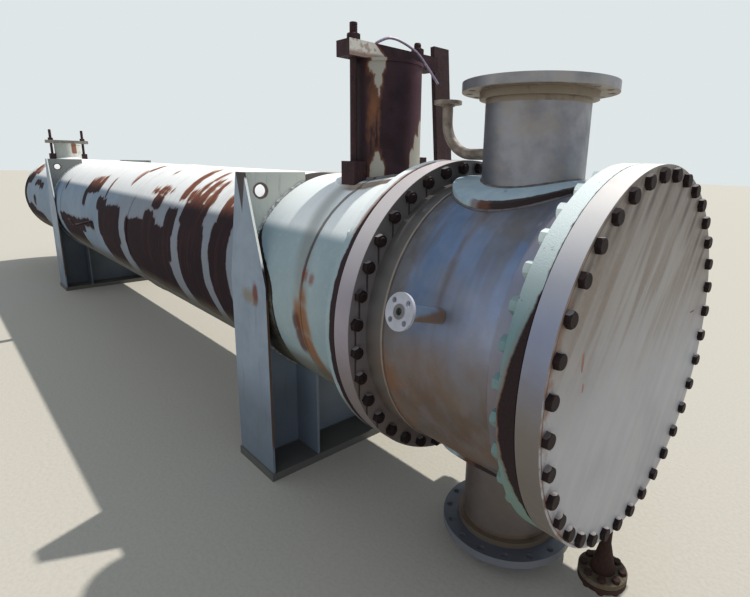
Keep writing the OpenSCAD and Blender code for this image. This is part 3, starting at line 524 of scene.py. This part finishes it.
def nozzle_steel():
    """Pipe and forged flange, bare and turned: soft grey clouds, with a brown film below the flange and
    painted shade down the left side.
    """
    material, tree, place = begin("turned_pipe_steel_bare")
    x, _, rise, _, _ = polar(tree, place)
    cloud = speckle(tree, place, 130, 0.35, 0.68)
    warm = speckle(tree, place, 160, 0.42, 0.66)
    grain = speckle(tree, place, 4, 0.3, 0.8)
    film = speckle(tree, place, 60, 0.5, 0.75, stretch=(1, 1, 2))
    drum = add(tree, "Math", {0: rise}, operation="ABSOLUTE")[0]
    hub = between(tree, drum, 0.900, NOZZLE_FLANGE_UNDER + 0.0015, 0.004)
    # Painted shade: the left side of the pipes is darker
    left = beyond(tree, wander(tree, place, x, 0.03, 100), NOZZLE_X - 0.045, -0.09)
    low = beyond(tree, rise, -0.2, -0.3)
    foot = beyond(tree, rise, 0.002 - NOZZLE_FLANGE_UNDER, -0.002)
    colour = coats(
        tree, "#95959b", ("#7d7d84", cloud), ("#9a9085", warm, 0.55), ("#4e505a", left, 0.85),
        ("#857765", hub, 0.9), ("#4a3030", film, hub, 0.6), ("#655446", low, 0.7),
        ("#7f828b", foot, 0.85), ("#50545e", hub, foot, 0.9))
    return close_up(material, tree, colour, (cloud, 0.4, 0.55), 0.3, grain, 0.0002)


def pad_paint():
    """Reinforcing pad in pale blue paint, with a black edge on the cover's side."""
    material, tree, place = begin("pad_plate_pale_blue_paint")
    x, y, _ = add(tree, "SeparateXYZ", {0: place})
    off, reach = from_upright(tree, x, y, NOZZLE_X)
    edge = beyond(tree, wander(tree, place, reach, 0.02, 50), PAD_R - 0.017, 0.008)
    cover_side = beyond(tree, wander(tree, place, off, 0.05, 50), -0.02, 0.03)
    cloud = speckle(tree, place, 80, 0.3, 0.75)
    grain = speckle(tree, place, 5, 0.3, 0.8)
    left_end = between(tree, wander(tree, place, off, 0.03, 30), -0.06, 0.03, 0.03)
    colour = coats(
        tree, "#b3c8cd", ("#9db4c2", cloud), ("#2a1d20", edge, cover_side), ("#6b4433", edge, left_end, 0.7))
    return close_up(material, tree, colour, (edge, 0.5, 0.85), 0.0, grain, 0.0005)


def dark_rust(name, base, light, deep):
    """Old steel under heavy rust, with darker and redder scale."""
    material, tree, place = begin(name)
    cloud = speckle(tree, place, 80, 0.3, 0.75)
    scale = speckle(tree, place, 15, 0.4, 0.7)
    grain = speckle(tree, place, 3, 0.3, 0.8)
    colour = coats(tree, base, (light, cloud), (deep, scale, 0.7))
    height = add(tree, "Math", {0: grain, 1: scale}, operation="ADD")[0]
    return close_up(material, tree, colour, (scale, 0.7, 0.9), 0.0, height, 0.0006, gloss=0.2)


def lilac_fitting():
    """Forged fitting, pickled: pale grey flange, its stub blue grey above and brown below."""
    material, tree, place = begin("forged_fitting_pickled")
    _, y, z = add(tree, "SeparateXYZ", {0: place})
    cloud = speckle(tree, place, 50, 0.3, 0.75)
    grain = speckle(tree, place, 3, 0.3, 0.8)
    stub = beyond(tree, y, -0.745, 0.004)
    underside = beyond(tree, wander(tree, place, z, 0.02, 30), 1.262, -0.02)
    root = beyond(tree, wander(tree, place, y, 0.01, 20), -0.600, 0.012)
    from_face = add(tree, "VectorMath", {0: place, 1: INSTRUMENT_FACE}, operation="SUBTRACT")[0]
    tilt = math.radians(INSTRUMENT_TILT)
    upward = (0, math.sin(tilt), math.cos(tilt))
    above = add(tree, "VectorMath", {0: from_face, 1: upward}, operation="DOT_PRODUCT")[0]
    forward = add(tree, "SeparateXYZ", {0: from_face})[0]
    flat = add(tree, "CombineXYZ", {0: forward, 1: above})[0]
    from_bore = add(tree, "VectorMath", {0: flat}, operation="LENGTH")[0]
    bore_ring = beyond(tree, from_bore, 0.025, -0.002)
    on_face = beyond(tree, y, -0.755, -0.002)
    colour = coats(
        tree, "#b4b6c0", ("#a4a6b2", cloud), ("#c5c6cc", grain, 0.3), ("#8296ae", stub, 0.85),
        ("#7d6250", stub, underside, 0.9), ("#806a58", root, 0.7), ("#55534f", bore_ring, on_face, 0.85))
    return close_up(material, tree, colour, (cloud, 0.45, 0.6), 0.2, grain, 0.0002)


def vent_steel():
    """Small bore pipe, bare: beige brown film over grey."""
    material, tree, place = begin("small_bore_pipe_brown_film")
    cloud = speckle(tree, place, 40, 0.35, 0.7)
    grain = speckle(tree, place, 3, 0.3, 0.8)
    colour = coats(tree, "#958b80", ("#71655b", cloud), ("#584438", grain, 0.3))
    return close_up(material, tree, colour, (cloud, 0.5, 0.65), 0.2, grain, 0.0003)


def maroon_nozzle():
    """Pipe under smooth maroon rust, with torn remnants of pale paint and an orange brown stripe below one of
    them that is partly a rust run and partly a painted highlight.
    """
    material, tree, place = begin("maroon_rust_pipe_paint_remnants")
    x, y, z = add(tree, "SeparateXYZ", {0: place})
    remnants = ((-0.166, -0.124, 2.13, 2.30), (-0.157, -0.132, 2.07, 2.20), (-0.147, -0.138, 2.02, 2.12),
                (0.000, 0.13, 1.66, 1.80), (0.030, 0.14, 1.74, 1.87), (0.070, 0.15, 1.82, 1.94),
                (-0.166, -0.124, 1.60, 1.75), (-0.158, -0.136, 1.70, 1.79))
    soft = patches(tree, y, z, remnants, (0.04, 0.10))
    paint, border = torn(tree, place, soft, 40, stretch=(1, 1, 2.5), share=0.9)
    cover_side = beyond(tree, x, FRONT_NOZZLE_X + 0.02, 0.02)
    far_side = beyond(tree, wander(tree, place, y, 0.04, 100), 0.0, 0.09)
    # Partly a rust run and partly a painted highlight down the near side
    column = between(tree, wander(tree, place, y, 0.02, 60), -0.168, -0.142, 0.016)
    low = between(tree, wander(tree, place, z, 0.1, 200), 1.80, 2.06, 0.15)
    streaks = speckle(tree, place, 30, 0.35, 0.62, stretch=(1, 1, 5))
    halo = patches(tree, wander(tree, place, y, 0.03, 60), z, remnants, (0.09, 0.22))
    cloud = speckle(tree, place, 120, 0.3, 0.75)
    grain = speckle(tree, place, 4, 0.3, 0.8)
    colour = coats(
        tree, "#2f2029", ("#23171e", cloud), ("#553540", far_side, 0.6), ("#553527", halo, cover_side, 0.5),
        ("#84583c", column, low, streaks, 0.8), ("#5a3a30", grain, 0.12),
        ("#704a33", border, cover_side, 0.8), ("#a9a79d", paint, cover_side, 0.9))
    height = add(tree, "Math", {0: grain, 1: paint}, operation="ADD")[0]
    return close_up(material, tree, colour, (cloud, 0.6, 0.8), 0.0, height, 0.0003, gloss=0.2)


def rear_nozzle_paint():
    """Pipe in old pale paint, greyer on its near side as painted shade, with one torn patch of red rust."""
    material, tree, place = begin("rear_nozzle_pale_paint")
    _, y, z = add(tree, "SeparateXYZ", {0: place})
    cloud = speckle(tree, place, 60, 0.35, 0.7)
    grain = speckle(tree, place, 5, 0.3, 0.8)
    # Painted shade: the near side is greyer
    near_half = beyond(tree, wander(tree, place, y, 0.04, 100), -0.02, -0.08)
    soft = patches(tree, y, z, ((0.020, 0.090, 1.74, 1.90),), (0.04, 0.05))
    rust, fringe = torn(tree, place, soft, 50, stretch=(1, 1, 2))
    colour = coats(
        tree, "#d3d6cf", ("#bfc1b8", cloud), ("#8e948f", near_half, 0.8), ("#b08a72", fringe, 0.7),
        ("#7c4a38", rust, 0.9))
    return close_up(material, tree, colour, (cloud, 0.6, 0.8), 0.0, grain, 0.0004)


def clamp_bar_rust():
    """Cut bar under dark rust, with pale paint left on the near half of its face."""
    material, tree, place = begin("clamp_bar_rust_pale_patch")
    x, y, z = add(tree, "SeparateXYZ", {0: place})
    lean = 1.3
    middle = 2.25
    leaning = add(tree, "Math", {0: z, 1: lean, 2: -lean * middle}, operation="MULTIPLY_ADD")[0]
    leaning = add(tree, "Math", {0: leaning, 1: y}, operation="ADD")[0]
    paint = beyond(tree, wander(tree, place, leaning, 0.03, 30), -0.078, -0.01)
    orange = between(tree, wander(tree, place, leaning, 0.03, 30), -0.13, -0.060, 0.02)
    face = beyond(tree, x, FRONT_NOZZLE_X + 0.050, 0.001)
    mottle = speckle(tree, place, 30, 0.50, 0.64)
    lower = beyond(tree, wander(tree, place, z, 0.02, 30), 2.238, -0.02)
    cloud = speckle(tree, place, 80, 0.3, 0.75)
    grain = speckle(tree, place, 4, 0.3, 0.8)
    colour = coats(
        tree, "#3f2e34", ("#2c2026", cloud), ("#6a4438", grain, 0.2), ("#7d4f34", orange, face, 0.8),
        ("#f3eee1", paint, face, 0.9), ("#8f6c52", mottle, paint, face, 0.6),
        ("#7b4f37", lower, paint, face, 0.75))
    return close_up(material, tree, colour, (cloud, 0.7, 0.85), 0.0, grain, 0.0004, gloss=0.2)


def plate_edge_marks(tree, place, aside, z):
    """Layers on the side plates' front edges: pale above where sunlight is painted, rusty below, and dark
    where the two meet, painted shade from the shell.
    """
    facing = add(tree, "TexCoord", {})[1]
    forward = add(tree, "SeparateXYZ", {0: facing})[0]
    edge = beyond(tree, forward, 0.85, 0.1)
    on_plates = beyond(tree, aside, 0.598, 0.001)
    # Painted light: the edge is pale where sunlit and dark just below it, where the shell's shadow is painted
    bright = beyond(tree, z, 1.20, 0.02)
    rusty = between(tree, wander(tree, place, z, 0.1, 100), 0.2, 1.12, 0.05)
    dark = between(tree, wander(tree, place, z, 0.04, 100), 1.04, 1.20, 0.04)
    return (("#eceee8", edge, on_plates, bright), ("#5c4334", edge, on_plates, rusty),
            ("#241a1e", edge, on_plates, dark))


def side_plate_marks(tree, place, x, y, z):
    """Layers on the near side plates: a rust spot in its smudge, and the dark wedge below the top."""
    tip = 1.468
    flare = 0.25
    near_plate = beyond(tree, y, -0.6, -0.001)
    ragged_x = wander(tree, place, x, 0.03, 30)
    ragged_z = wander(tree, place, z, 0.04, 30)
    spot = patches(tree, ragged_x, ragged_z, ((0.052, 0.102, 1.00, 1.10),), (0.045, 0.09))
    spot = add(tree, "MapRange", {0: wander(tree, place, spot, 0.5, 20), 1: 0.15, 2: 0.75})[0]
    smudge = patches(tree, ragged_x, ragged_z, ((-0.06, 0.10, 0.99, 1.06),), (0.08, 0.05))
    off = add(tree, "Math", {0: x, 1: 0.02}, operation="ADD")[0]
    off = add(tree, "Math", {0: off}, operation="ABSOLUTE")[0]
    below = add(tree, "Math", {0: z, 1: -flare, 2: tip * flare}, operation="MULTIPLY_ADD")[0]
    gap = add(tree, "Math", {0: off, 1: below}, operation="ADD")[0]
    wedge = add(tree, "MapRange", {0: gap, 1: 0.004, 2: -0.004})[0]
    return (("#7b7058", smudge, near_plate, 0.8), ("#642a2a", spot, near_plate),
            ("#2a1c1e", wedge, near_plate))


def support_paint():
    """Cut plate in blue grey paint, paler and greener at the top of the web as painted light, darker lower
    down and on the rear web as painted shade, rusty on its front edge and in spots.
    """
    material, tree, place = begin("support_plate_blue_grey_paint")
    x, y, z = add(tree, "SeparateXYZ", {0: place})
    aside = add(tree, "Math", {0: y}, operation="ABSOLUTE")[0]
    cloud = speckle(tree, place, 200, 0.3, 0.75)
    grain = speckle(tree, place, 5, 0.3, 0.8)
    runs = speckle(tree, place, 40, 0.55, 0.75, stretch=(1, 1, 8))
    specks = speckle(tree, place, 18, 0.71, 0.74)
    low = beyond(tree, wander(tree, place, z, 0.1, 100), 0.5, -0.3)
    web = between(tree, y, -0.6, 0.6, 0.001)
    # Painted light: the web's pale top stands for light falling on it; low and the rear web are painted shade
    top = beyond(tree, wander(tree, place, z, 0.1, 200), 1.25, 0.25)
    rear_part = beyond(tree, x, -4.0, -0.1)
    foot = beyond(tree, z, 0.050, -0.01)
    spot = add(tree, "CombineXYZ", {0: aside, 1: z})[0]
    from_hole = add(tree, "VectorMath", {0: spot, 1: LIFTING_HOLE}, operation="DISTANCE")[0]
    ring = beyond(tree, wander(tree, place, from_hole, 0.008, 20), 0.044, -0.006)
    colour = coats(
        tree, "#8d9cac", ("#8291a1", cloud), ("#d4d7cc", top, web, 0.9), ("#596068", low, 0.6),
        ("#3b4248", rear_part, web, 0.7), ("#565148", foot, 0.85), ("#5a5148", runs, 0.3),
        ("#6a4030", specks, 0.7), *plate_edge_marks(tree, place, aside, z),
        *side_plate_marks(tree, place, x, y, z), ("#57342c", ring, web, 0.9))
    return close_up(material, tree, colour, (cloud, 0.5, 0.68), 0.0, grain, 0.0004)


def gasket_fibre():
    """Pressed fibre gasket, dark and dull."""
    material, tree, place = begin("pressed_fibre_gasket")
    grain = speckle(tree, place, 3, 0.3, 0.8)
    colour = coats(tree, "#352626", ("#241a1b", grain))
    return close_up(material, tree, colour, (grain, 0.8, 0.95), 0.0, grain, 0.0003)


def bolt_steel():
    """Black oxide bolts, with pale tops on what faces straight up, partly dust and partly painted light from
    above.
    """
    material, tree, place = begin("black_bolt_steel")
    cloud = speckle(tree, place, 30, 0.35, 0.75)
    grain = speckle(tree, place, 2, 0.3, 0.8)
    facing = add(tree, "TexCoord", {})[1]
    up = add(tree, "SeparateXYZ", {0: facing})[2]
    # Partly dust and partly painted light from above on the upward faces
    dust = beyond(tree, up, 0.90, 0.12)
    colour = coats(tree, "#241c1e", ("#1b1416", cloud), ("#46302a", grain, 0.25), ("#9d9896", dust, 0.75))
    return close_up(material, tree, colour, (dust, 0.55, 0.8), 0.0, grain, 0.0002, gloss=0.1)


def weld_steel():
    """Weld metal as laid: dull grey with brown tarnish."""
    material, tree, place = begin("weld_bead_steel")
    cloud = speckle(tree, place, 30, 0.35, 0.7)
    grain = speckle(tree, place, 3, 0.3, 0.8)
    colour = coats(tree, "#6a6666", ("#564c4a", cloud))
    return close_up(material, tree, colour, (cloud, 0.5, 0.7), 0.3, grain, 0.0005)


def painted_weld():
    """Weld bead in the support's paint, worn pale on its ripples."""
    material, tree, place = begin("painted_weld_bead")
    ripples = speckle(tree, place, 12, 0.4, 0.65)
    grain = speckle(tree, place, 3, 0.3, 0.8)
    colour = coats(tree, "#85888a", ("#cfd0ca", ripples))
    return close_up(material, tree, colour, (ripples, 0.5, 0.7), 0.0, grain, 0.0005)


def rod_steel():
    """Drawn rod with a thin lilac oxide."""
    material, tree, place = begin("drawn_rod_steel")
    grain = speckle(tree, place, 10, 0.3, 0.8)
    colour = coats(tree, "#9c8fa6", ("#7a6e86", grain))
    return close_up(material, tree, colour, (grain, 0.4, 0.6), 0.3, grain, 0.0002)


# Mesh helpers
def rings(count, steps, closed=False):
    """Faces of a skin over count rings of steps points, capped at both ends unless closed."""
    faces = []
    for k in range(count if closed else count - 1):
        n = (k + 1) % count
        for i in range(steps):
            j = (i + 1) % steps
            faces.append([k * steps + i, k * steps + j, n * steps + j, n * steps + i])
    if not closed:
        last = (count - 1) * steps
        faces += [list(range(steps))[::-1], [last + i for i in range(steps)]]
    return faces


def hexagon(flats, length, chamfer, steps=24):
    """Bolt head or nut along +Z, with the corners of its outer end turned off."""
    corner = flats / 2 / math.cos(math.radians(30))
    crown = 0.97 * flats / 2
    points = []
    for level in range(3):
        for i in range(steps):
            a = math.tau * i / steps
            off = (a + math.pi / 6) % (math.pi / 3) - math.pi / 6
            r = flats / 2 / math.cos(off)
            shoulder = length - chamfer * (r - crown) / (corner - crown)
            z = (0, shoulder, length)[level]
            if level == 2:
                r = 0.95 * flats / 2
            points.append((r * math.cos(a), r * math.sin(a), z))
    return points, rings(3, steps)


def lathe(profile, steps=24):
    """Solid turned round Z from (radius, height) points, bottom to top."""
    points = []
    for r, z in profile:
        for i in range(steps):
            a = math.tau * i / steps
            points.append((r * math.cos(a), r * math.sin(a), z))
    return points, rings(len(profile), steps)


def tube(path, radius, aside, closed=False, ripple=0.0, sides=8):
    """A round bar or weld bead along a path; aside is never along the path."""
    points = []
    count = len(path)
    for k, middle in enumerate(path):
        before = path[(k - 1) % count] if closed or k else middle
        after = path[(k + 1) % count] if closed or k < count - 1 else middle
        along = (Vector(after) - Vector(before)).normalized()
        first = Vector(aside).cross(along).normalized()
        second = along.cross(first)
        size = radius * (1 + ripple * chance.uniform(-1, 1))
        for i in range(sides):
            a = math.tau * i / sides
            points.append(tuple(Vector(middle) + size * (math.cos(a) * first + math.sin(a) * second)))
    return points, rings(count, sides, closed)


def eased(path, steps=8):
    """The same path with a smooth curve through its points."""
    knots = [Vector(p) for p in (path[0], *path, path[-1])]
    points = []
    for a, b, c, d in zip(knots, knots[1:], knots[2:], knots[3:]):
        for k in range(steps):
            t = k / steps
            points.append(0.5 * (2 * b + (c - a) * t + (2 * a - 5 * b + 4 * c - d) * t ** 2
                                 + (3 * b - a - 3 * c + d) * t ** 3))
    return points + [knots[-1]]


def piece(name, parts, material, sharp=35):
    """Joins (shape, matrix) pairs into one mesh that rides on the vessel."""
    points = []
    faces = []
    for (shape_points, shape_faces), matrix in parts:
        start = len(points)
        points += [matrix @ Vector(p) for p in shape_points]
        faces += [[start + i for i in face] for face in shape_faces]
    mesh = bpy.data.meshes.new(name)
    mesh.from_pydata(points, [], faces)
    mesh.materials.append(material)
    mesh.polygons.foreach_set("use_smooth", [True] * len(mesh.polygons))
    mesh.set_sharp_from_angle(angle=math.radians(sharp))
    made = bpy.data.objects.new(name, mesh)
    scene.collection.objects.link(made)
    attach(made, "root")
    return made


STAY = Matrix.Identity(4)
FORWARD = Matrix.Rotation(math.radians(90), 4, "Y")
BACKWARD = Matrix.Rotation(math.radians(-90), 4, "Y")
OVER = Matrix.Rotation(math.pi, 4, "X")


# Bolts and studs
def joint_places(x, turn):
    """Where the bolts of a body joint go, each turned a little differently."""
    for i in range(JOINT_BOLTS):
        a = math.tau * (i + 0.5) / JOINT_BOLTS
        spot = Vector((x, JOINT_CIRCLE / 2 * math.cos(a), AXIS + JOINT_CIRCLE / 2 * math.sin(a)))
        spin = Matrix.Rotation(chance.uniform(0, math.tau), 4, "Z")
        yield Matrix.Translation(spot) @ turn @ spin


def joint_bolts(bolt_look, mint_look, shell_look):
    """Hexagon bolts through the cover with nuts behind its flange, and studs through the tube plate."""
    r = JOINT_BOLT_D / 2
    tip_r = 0.012
    tip = 0.003
    bolt_reach = 0.178
    stud_reach = 0.182
    chamfer = 0.006
    back_flats = 0.050
    back_nut = 0.030
    head = hexagon(JOINT_FLATS, JOINT_HEAD, chamfer)
    nut = hexagon(JOINT_FLATS, JOINT_NUT, chamfer)
    big_nut = hexagon(back_flats, back_nut, chamfer / 2)
    shank = lathe([(r, -bolt_reach), (r, 0.001)])
    heads = [(shape, m) for m in joint_places(COVER_FACE, FORWARD) for shape in (head, shank)]
    piece("cover_bolts", heads, bolt_look)
    backs = [(big_nut, m) for m in joint_places(FLANGE_BACK, BACKWARD)]
    piece("cover_nuts", backs, mint_look)
    stud = lathe([(tip_r, -stud_reach - tip), (r, -stud_reach), (r, JOINT_NUT), (tip_r, JOINT_NUT + tip)])
    fronts = [(shape, m) for m in joint_places(TUBESHEET_FACE, FORWARD) for shape in (nut, stud)]
    piece("tube_plate_studs", fronts, bolt_look)
    rears = [(nut, m) for m in joint_places(SHELL_FLANGE_BACK, BACKWARD)]
    piece("shell_flange_nuts", rears, shell_look)


def drain_bolts(look):
    """Eight bolts through the drain flange and its blind."""
    bolts = 8
    circle_r = 0.0746
    flange = 0.020
    grip = 0.042
    flats = 0.030
    chamfer = 0.004
    r = 0.0095
    head = hexagon(flats, 0.0125, chamfer)
    nut = hexagon(flats, 0.016, chamfer)
    shank = lathe([(r, -grip - 0.020), (r, 0.001)], 16)
    parts = []
    for i in range(bolts):
        a = math.tau * (i + 0.5) / bolts
        spot = (DRAIN_X + circle_r * math.cos(a), circle_r * math.sin(a), DRAIN_FACE + flange)
        top = Matrix.Translation(spot)
        spin = Matrix.Rotation(chance.uniform(0, 1), 4, "Z")
        bottom = Matrix.Translation((0, 0, -grip)) @ top @ OVER
        parts += [(head, top @ spin), (shank, top), (nut, bottom @ spin)]
    piece("drain_bolts", parts, look)


def threaded(foot, rise, pitch=0.0035, root=0.0178):
    """A stud from foot, plain up to zero and with thread above it; the pitch is that of a 38 mm stud."""
    profile = [(root, foot), (root, 0.0)]
    profile += [(STUD_R if k % 2 else root, pitch * k) for k in range(1, int(rise / pitch))]
    return lathe(profile + [(0.015, rise)], 20)


def clamp_studs(look):
    """Threaded studs with nuts that hold the bars over the two blind plates."""
    nut = hexagon(0.060, 0.034, 0.004)
    lug_top = AXIS + 0.64
    front_top = AXIS + 1.225
    rear_top = AXIS + 0.878
    studs = ((FRONT_NOZZLE_X, -1, front_top, 0.084), (FRONT_NOZZLE_X, 1, front_top, 0.062),
             (REAR_NOZZLE_X, -1, rear_top, 0.16), (REAR_NOZZLE_X, 1, rear_top, 0.16))
    parts = []
    for x, side, top, rise in studs:
        spot = Matrix.Translation((x, side * STUD_OFFSET, top))
        parts += [(threaded(lug_top - top, rise), spot), (nut, spot)]
    piece("clamp_studs", parts, look)


# Welds
def ring_path(x, r, steps=180):
    """Points of a circle round the vessel's axis."""
    turns = [math.tau * i / steps for i in range(steps)]
    return [(x, r * math.cos(a), AXIS + r * math.sin(a)) for a in turns]


def saddle_path(x, r, drum, up, steps=120):
    """Points where an upright pipe of radius r meets a drum round the axis."""
    path = []
    for i in range(steps):
        a = math.tau * i / steps
        y = r * math.sin(a)
        path.append((x + r * math.cos(a), y, AXIS + up * math.sqrt(drum * drum - y * y)))
    return path


def bead(path, radius, aside):
    """One closed weld bead along a path, with the small ripples of its runs."""
    return tube(path, radius, aside, True, 0.15), STAY


def welds(shell_look, barrel_look, nozzle_look):
    """Weld beads: the shell's seams and nozzles, the channel's two hubs, the large nozzles and pads."""
    across = (1, 0, 0)
    upright = (0, 0, 1)
    shell = [bead(ring_path(x, SHELL_R), 0.006, across) for x in SEAMS]
    shell.append(bead(ring_path(SHELL_FLANGE_BACK, SHELL_R), 0.008, across))
    for x in (FRONT_NOZZLE_X, REAR_NOZZLE_X):
        shell.append(bead(saddle_path(x, SHELL_PAD_R, SHELL_R, 1), 0.006, upright))
        shell.append(bead(saddle_path(x, SHELL_NOZZLE_R, SHELL_R + SHELL_PAD_THICK, 1), 0.008, upright))
    piece("shell_welds", shell, shell_look, 80)
    hubs = [bead(ring_path(x, SHELL_R), 0.005, across) for x in (FLANGE_BACK - HUB, TUBESHEET_FACE + HUB)]
    piece("channel_welds", hubs, barrel_look, 80)
    roots = []
    for up in (1, -1):
        roots.append(bead(saddle_path(NOZZLE_X, NOZZLE_R, SHELL_R + PAD_THICK, up), 0.006, upright))
        roots.append(bead(saddle_path(NOZZLE_X, PAD_R, SHELL_R, up), 0.006, upright))
    piece("nozzle_welds", roots, nozzle_look, 80)


def support_welds(look):
    """Fillet beads where the shell sits in the two web plates, rippled by hand welding."""
    beads = []
    r = SHELL_R + 0.003
    for middle in SUPPORTS:
        for face in (-1, 1):
            x = middle + WEB_X + face * (WEB_THICK / 2 + 0.003)
            turns = [math.radians(a) for a in range(-246, 67, 1)]
            arc = [(x, r * math.cos(a), AXIS + r * math.sin(a)) for a in turns]
            beads.append((tube(arc, 0.009, (1, 0, 0), False, 0.3), STAY))
    piece("support_welds", beads, look, 80)


def bent_rod(look):
    """Thin rod that lies on the front clamp bar and bends down past the upright bar."""
    path = ((0.446, -0.112, 2.293), (0.456, -0.083, 2.310), (0.462, -0.049, 2.324), (0.468, -0.009, 2.326),
            (0.474, 0.033, 2.318), (0.480, 0.083, 2.302), (0.486, 0.135, 2.277), (0.493, 0.188, 2.231),
            (0.500, 0.236, 2.183), (0.506, 0.270, 2.146))
    piece("bent_rod", [(tube(eased(path), 0.0065, (1, 0, 0)), STAY)], look, 80)


# Floor and light
def floor_and_light():
    """Pale ground that keeps the shadow, an even sky and one high sun from the far side."""
    sky = bpy.data.worlds.new("sky")
    scene.world = sky
    sky.use_nodes = True
    tree = sky.node_tree
    tree.nodes.clear()
    rays = tree.nodes.new("ShaderNodeLightPath")
    seen = rays.outputs["Is Camera Ray"]
    for kind in ("Is Glossy Ray", "Is Transmission Ray"):
        seen = add(tree, "Math", {0: seen, 1: rays.outputs[kind]}, operation="MAXIMUM")[0]
    light = add(tree, "Background", {0: [0.80, 0.88, 1.0, 1.0], 1: 0.60})[0]
    shown = add(tree, "Background", {0: linear("#dfe6e8"), 1: 1.0})[0]
    mixed = add(tree, "MixShader", {0: seen, 1: light, 2: shown})[0]
    tree.links.new(mixed, tree.nodes.new("ShaderNodeOutputWorld").inputs[0])

    material, tree, place = begin("pale_ground")
    grain = speckle(tree, place, 20, 0.3, 0.8)
    colour = coats(tree, "#b9b4a8", ("#a8a294", grain, 0.4))
    close_up(material, tree, colour, (grain, 0.9, 0.9), 0.0, grain, 0.001)
    mesh = bpy.data.meshes.new("ground")
    corners = [(60 * a, 60 * b, 0) for a, b in ((-1, -1), (1, -1), (1, 1), (-1, 1))]
    mesh.from_pydata(corners, [], [(0, 1, 2, 3)])
    mesh.materials.append(material)
    ground = bpy.data.objects.new("ground", mesh)
    scene.collection.objects.link(ground)

    lamp = bpy.data.lights.new("sun", "SUN")
    lamp.energy = 3.6
    lamp.angle = math.radians(1)
    lamp.color = (1.0, 0.97, 0.92)
    sun = bpy.data.objects.new("sun", lamp)
    scene.collection.objects.link(sun)
    sun.rotation_euler = Vector((0.0, 0.53, 0.85)).to_track_quat("Z", "Y").to_euler()


scene.view_settings.view_transform = "Standard"
floor_and_light()

# Looks of the nodes
STEEL = nozzle_steel()
SHELL = shell_paint()
MAROON = maroon_nozzle()
RUST = dark_rust("heavy_rust_steel", "#3a2c30", "#2c2126", "#553530")
DRAIN = dark_rust("black_rust_steel", "#33231f", "#241918", "#4a2d22")
SUPPORT = support_paint()
BARREL = barrel_steel()
LOOKS = {
    "channel_cover": cover_plate(), "channel_front_flange": mint_flange(), "channel_barrel": BARREL,
    "tubesheet": tubesheet_steel(), "instrument_nozzle": lilac_fitting(), "front_clamp_bar": clamp_bar_rust(),
    "rear_clamp_bar": dark_rust("faded_clamp_steel", "#9b9993", "#85827b", "#74644f"),
    "drain_flange": dark_rust("drain_flange_steel", "#5c4e3b", "#4a4034", "#6b665a")}
SHARED = (
    (SHELL, "shell_flange shell_front_course shell_middle_course shell_long_course"),
    (SHELL, "shell_rear_course rear_head front_nozzle_pad rear_nozzle_pad"),
    (gasket_fibre(), "cover_gasket tubesheet_gasket"),
    (STEEL, "top_nozzle_neck top_nozzle_flange bottom_nozzle_neck bottom_nozzle_flange"),
    (vent_steel(), "vent_pipe vent_flange"),
    (pad_paint(), "top_nozzle_pad bottom_nozzle_pad"),
    (DRAIN, "drain_pipe drain_blind"),
    (MAROON, "front_nozzle_neck front_nozzle_blind"),
    (RUST, "front_clamp_lugs front_upright_bar rear_clamp_lugs side_bracket"),
    (rear_nozzle_paint(), "rear_nozzle_neck rear_nozzle_blind"))
for look, names in SHARED:
    for name in names.split():
        LOOKS[name] = look
for name in nodes:
    if "support" in name:
        LOOKS[name] = SUPPORT
for name, made in nodes.items():
    made.data.materials.clear()
    made.data.materials.append(LOOKS[name])

joint_bolts(bolt_steel(), LOOKS["channel_front_flange"], SHELL)
drain_bolts(DRAIN)
clamp_studs(RUST)
welds(SHELL, BARREL, weld_steel())
support_welds(painted_weld())
bent_rod(rod_steel())
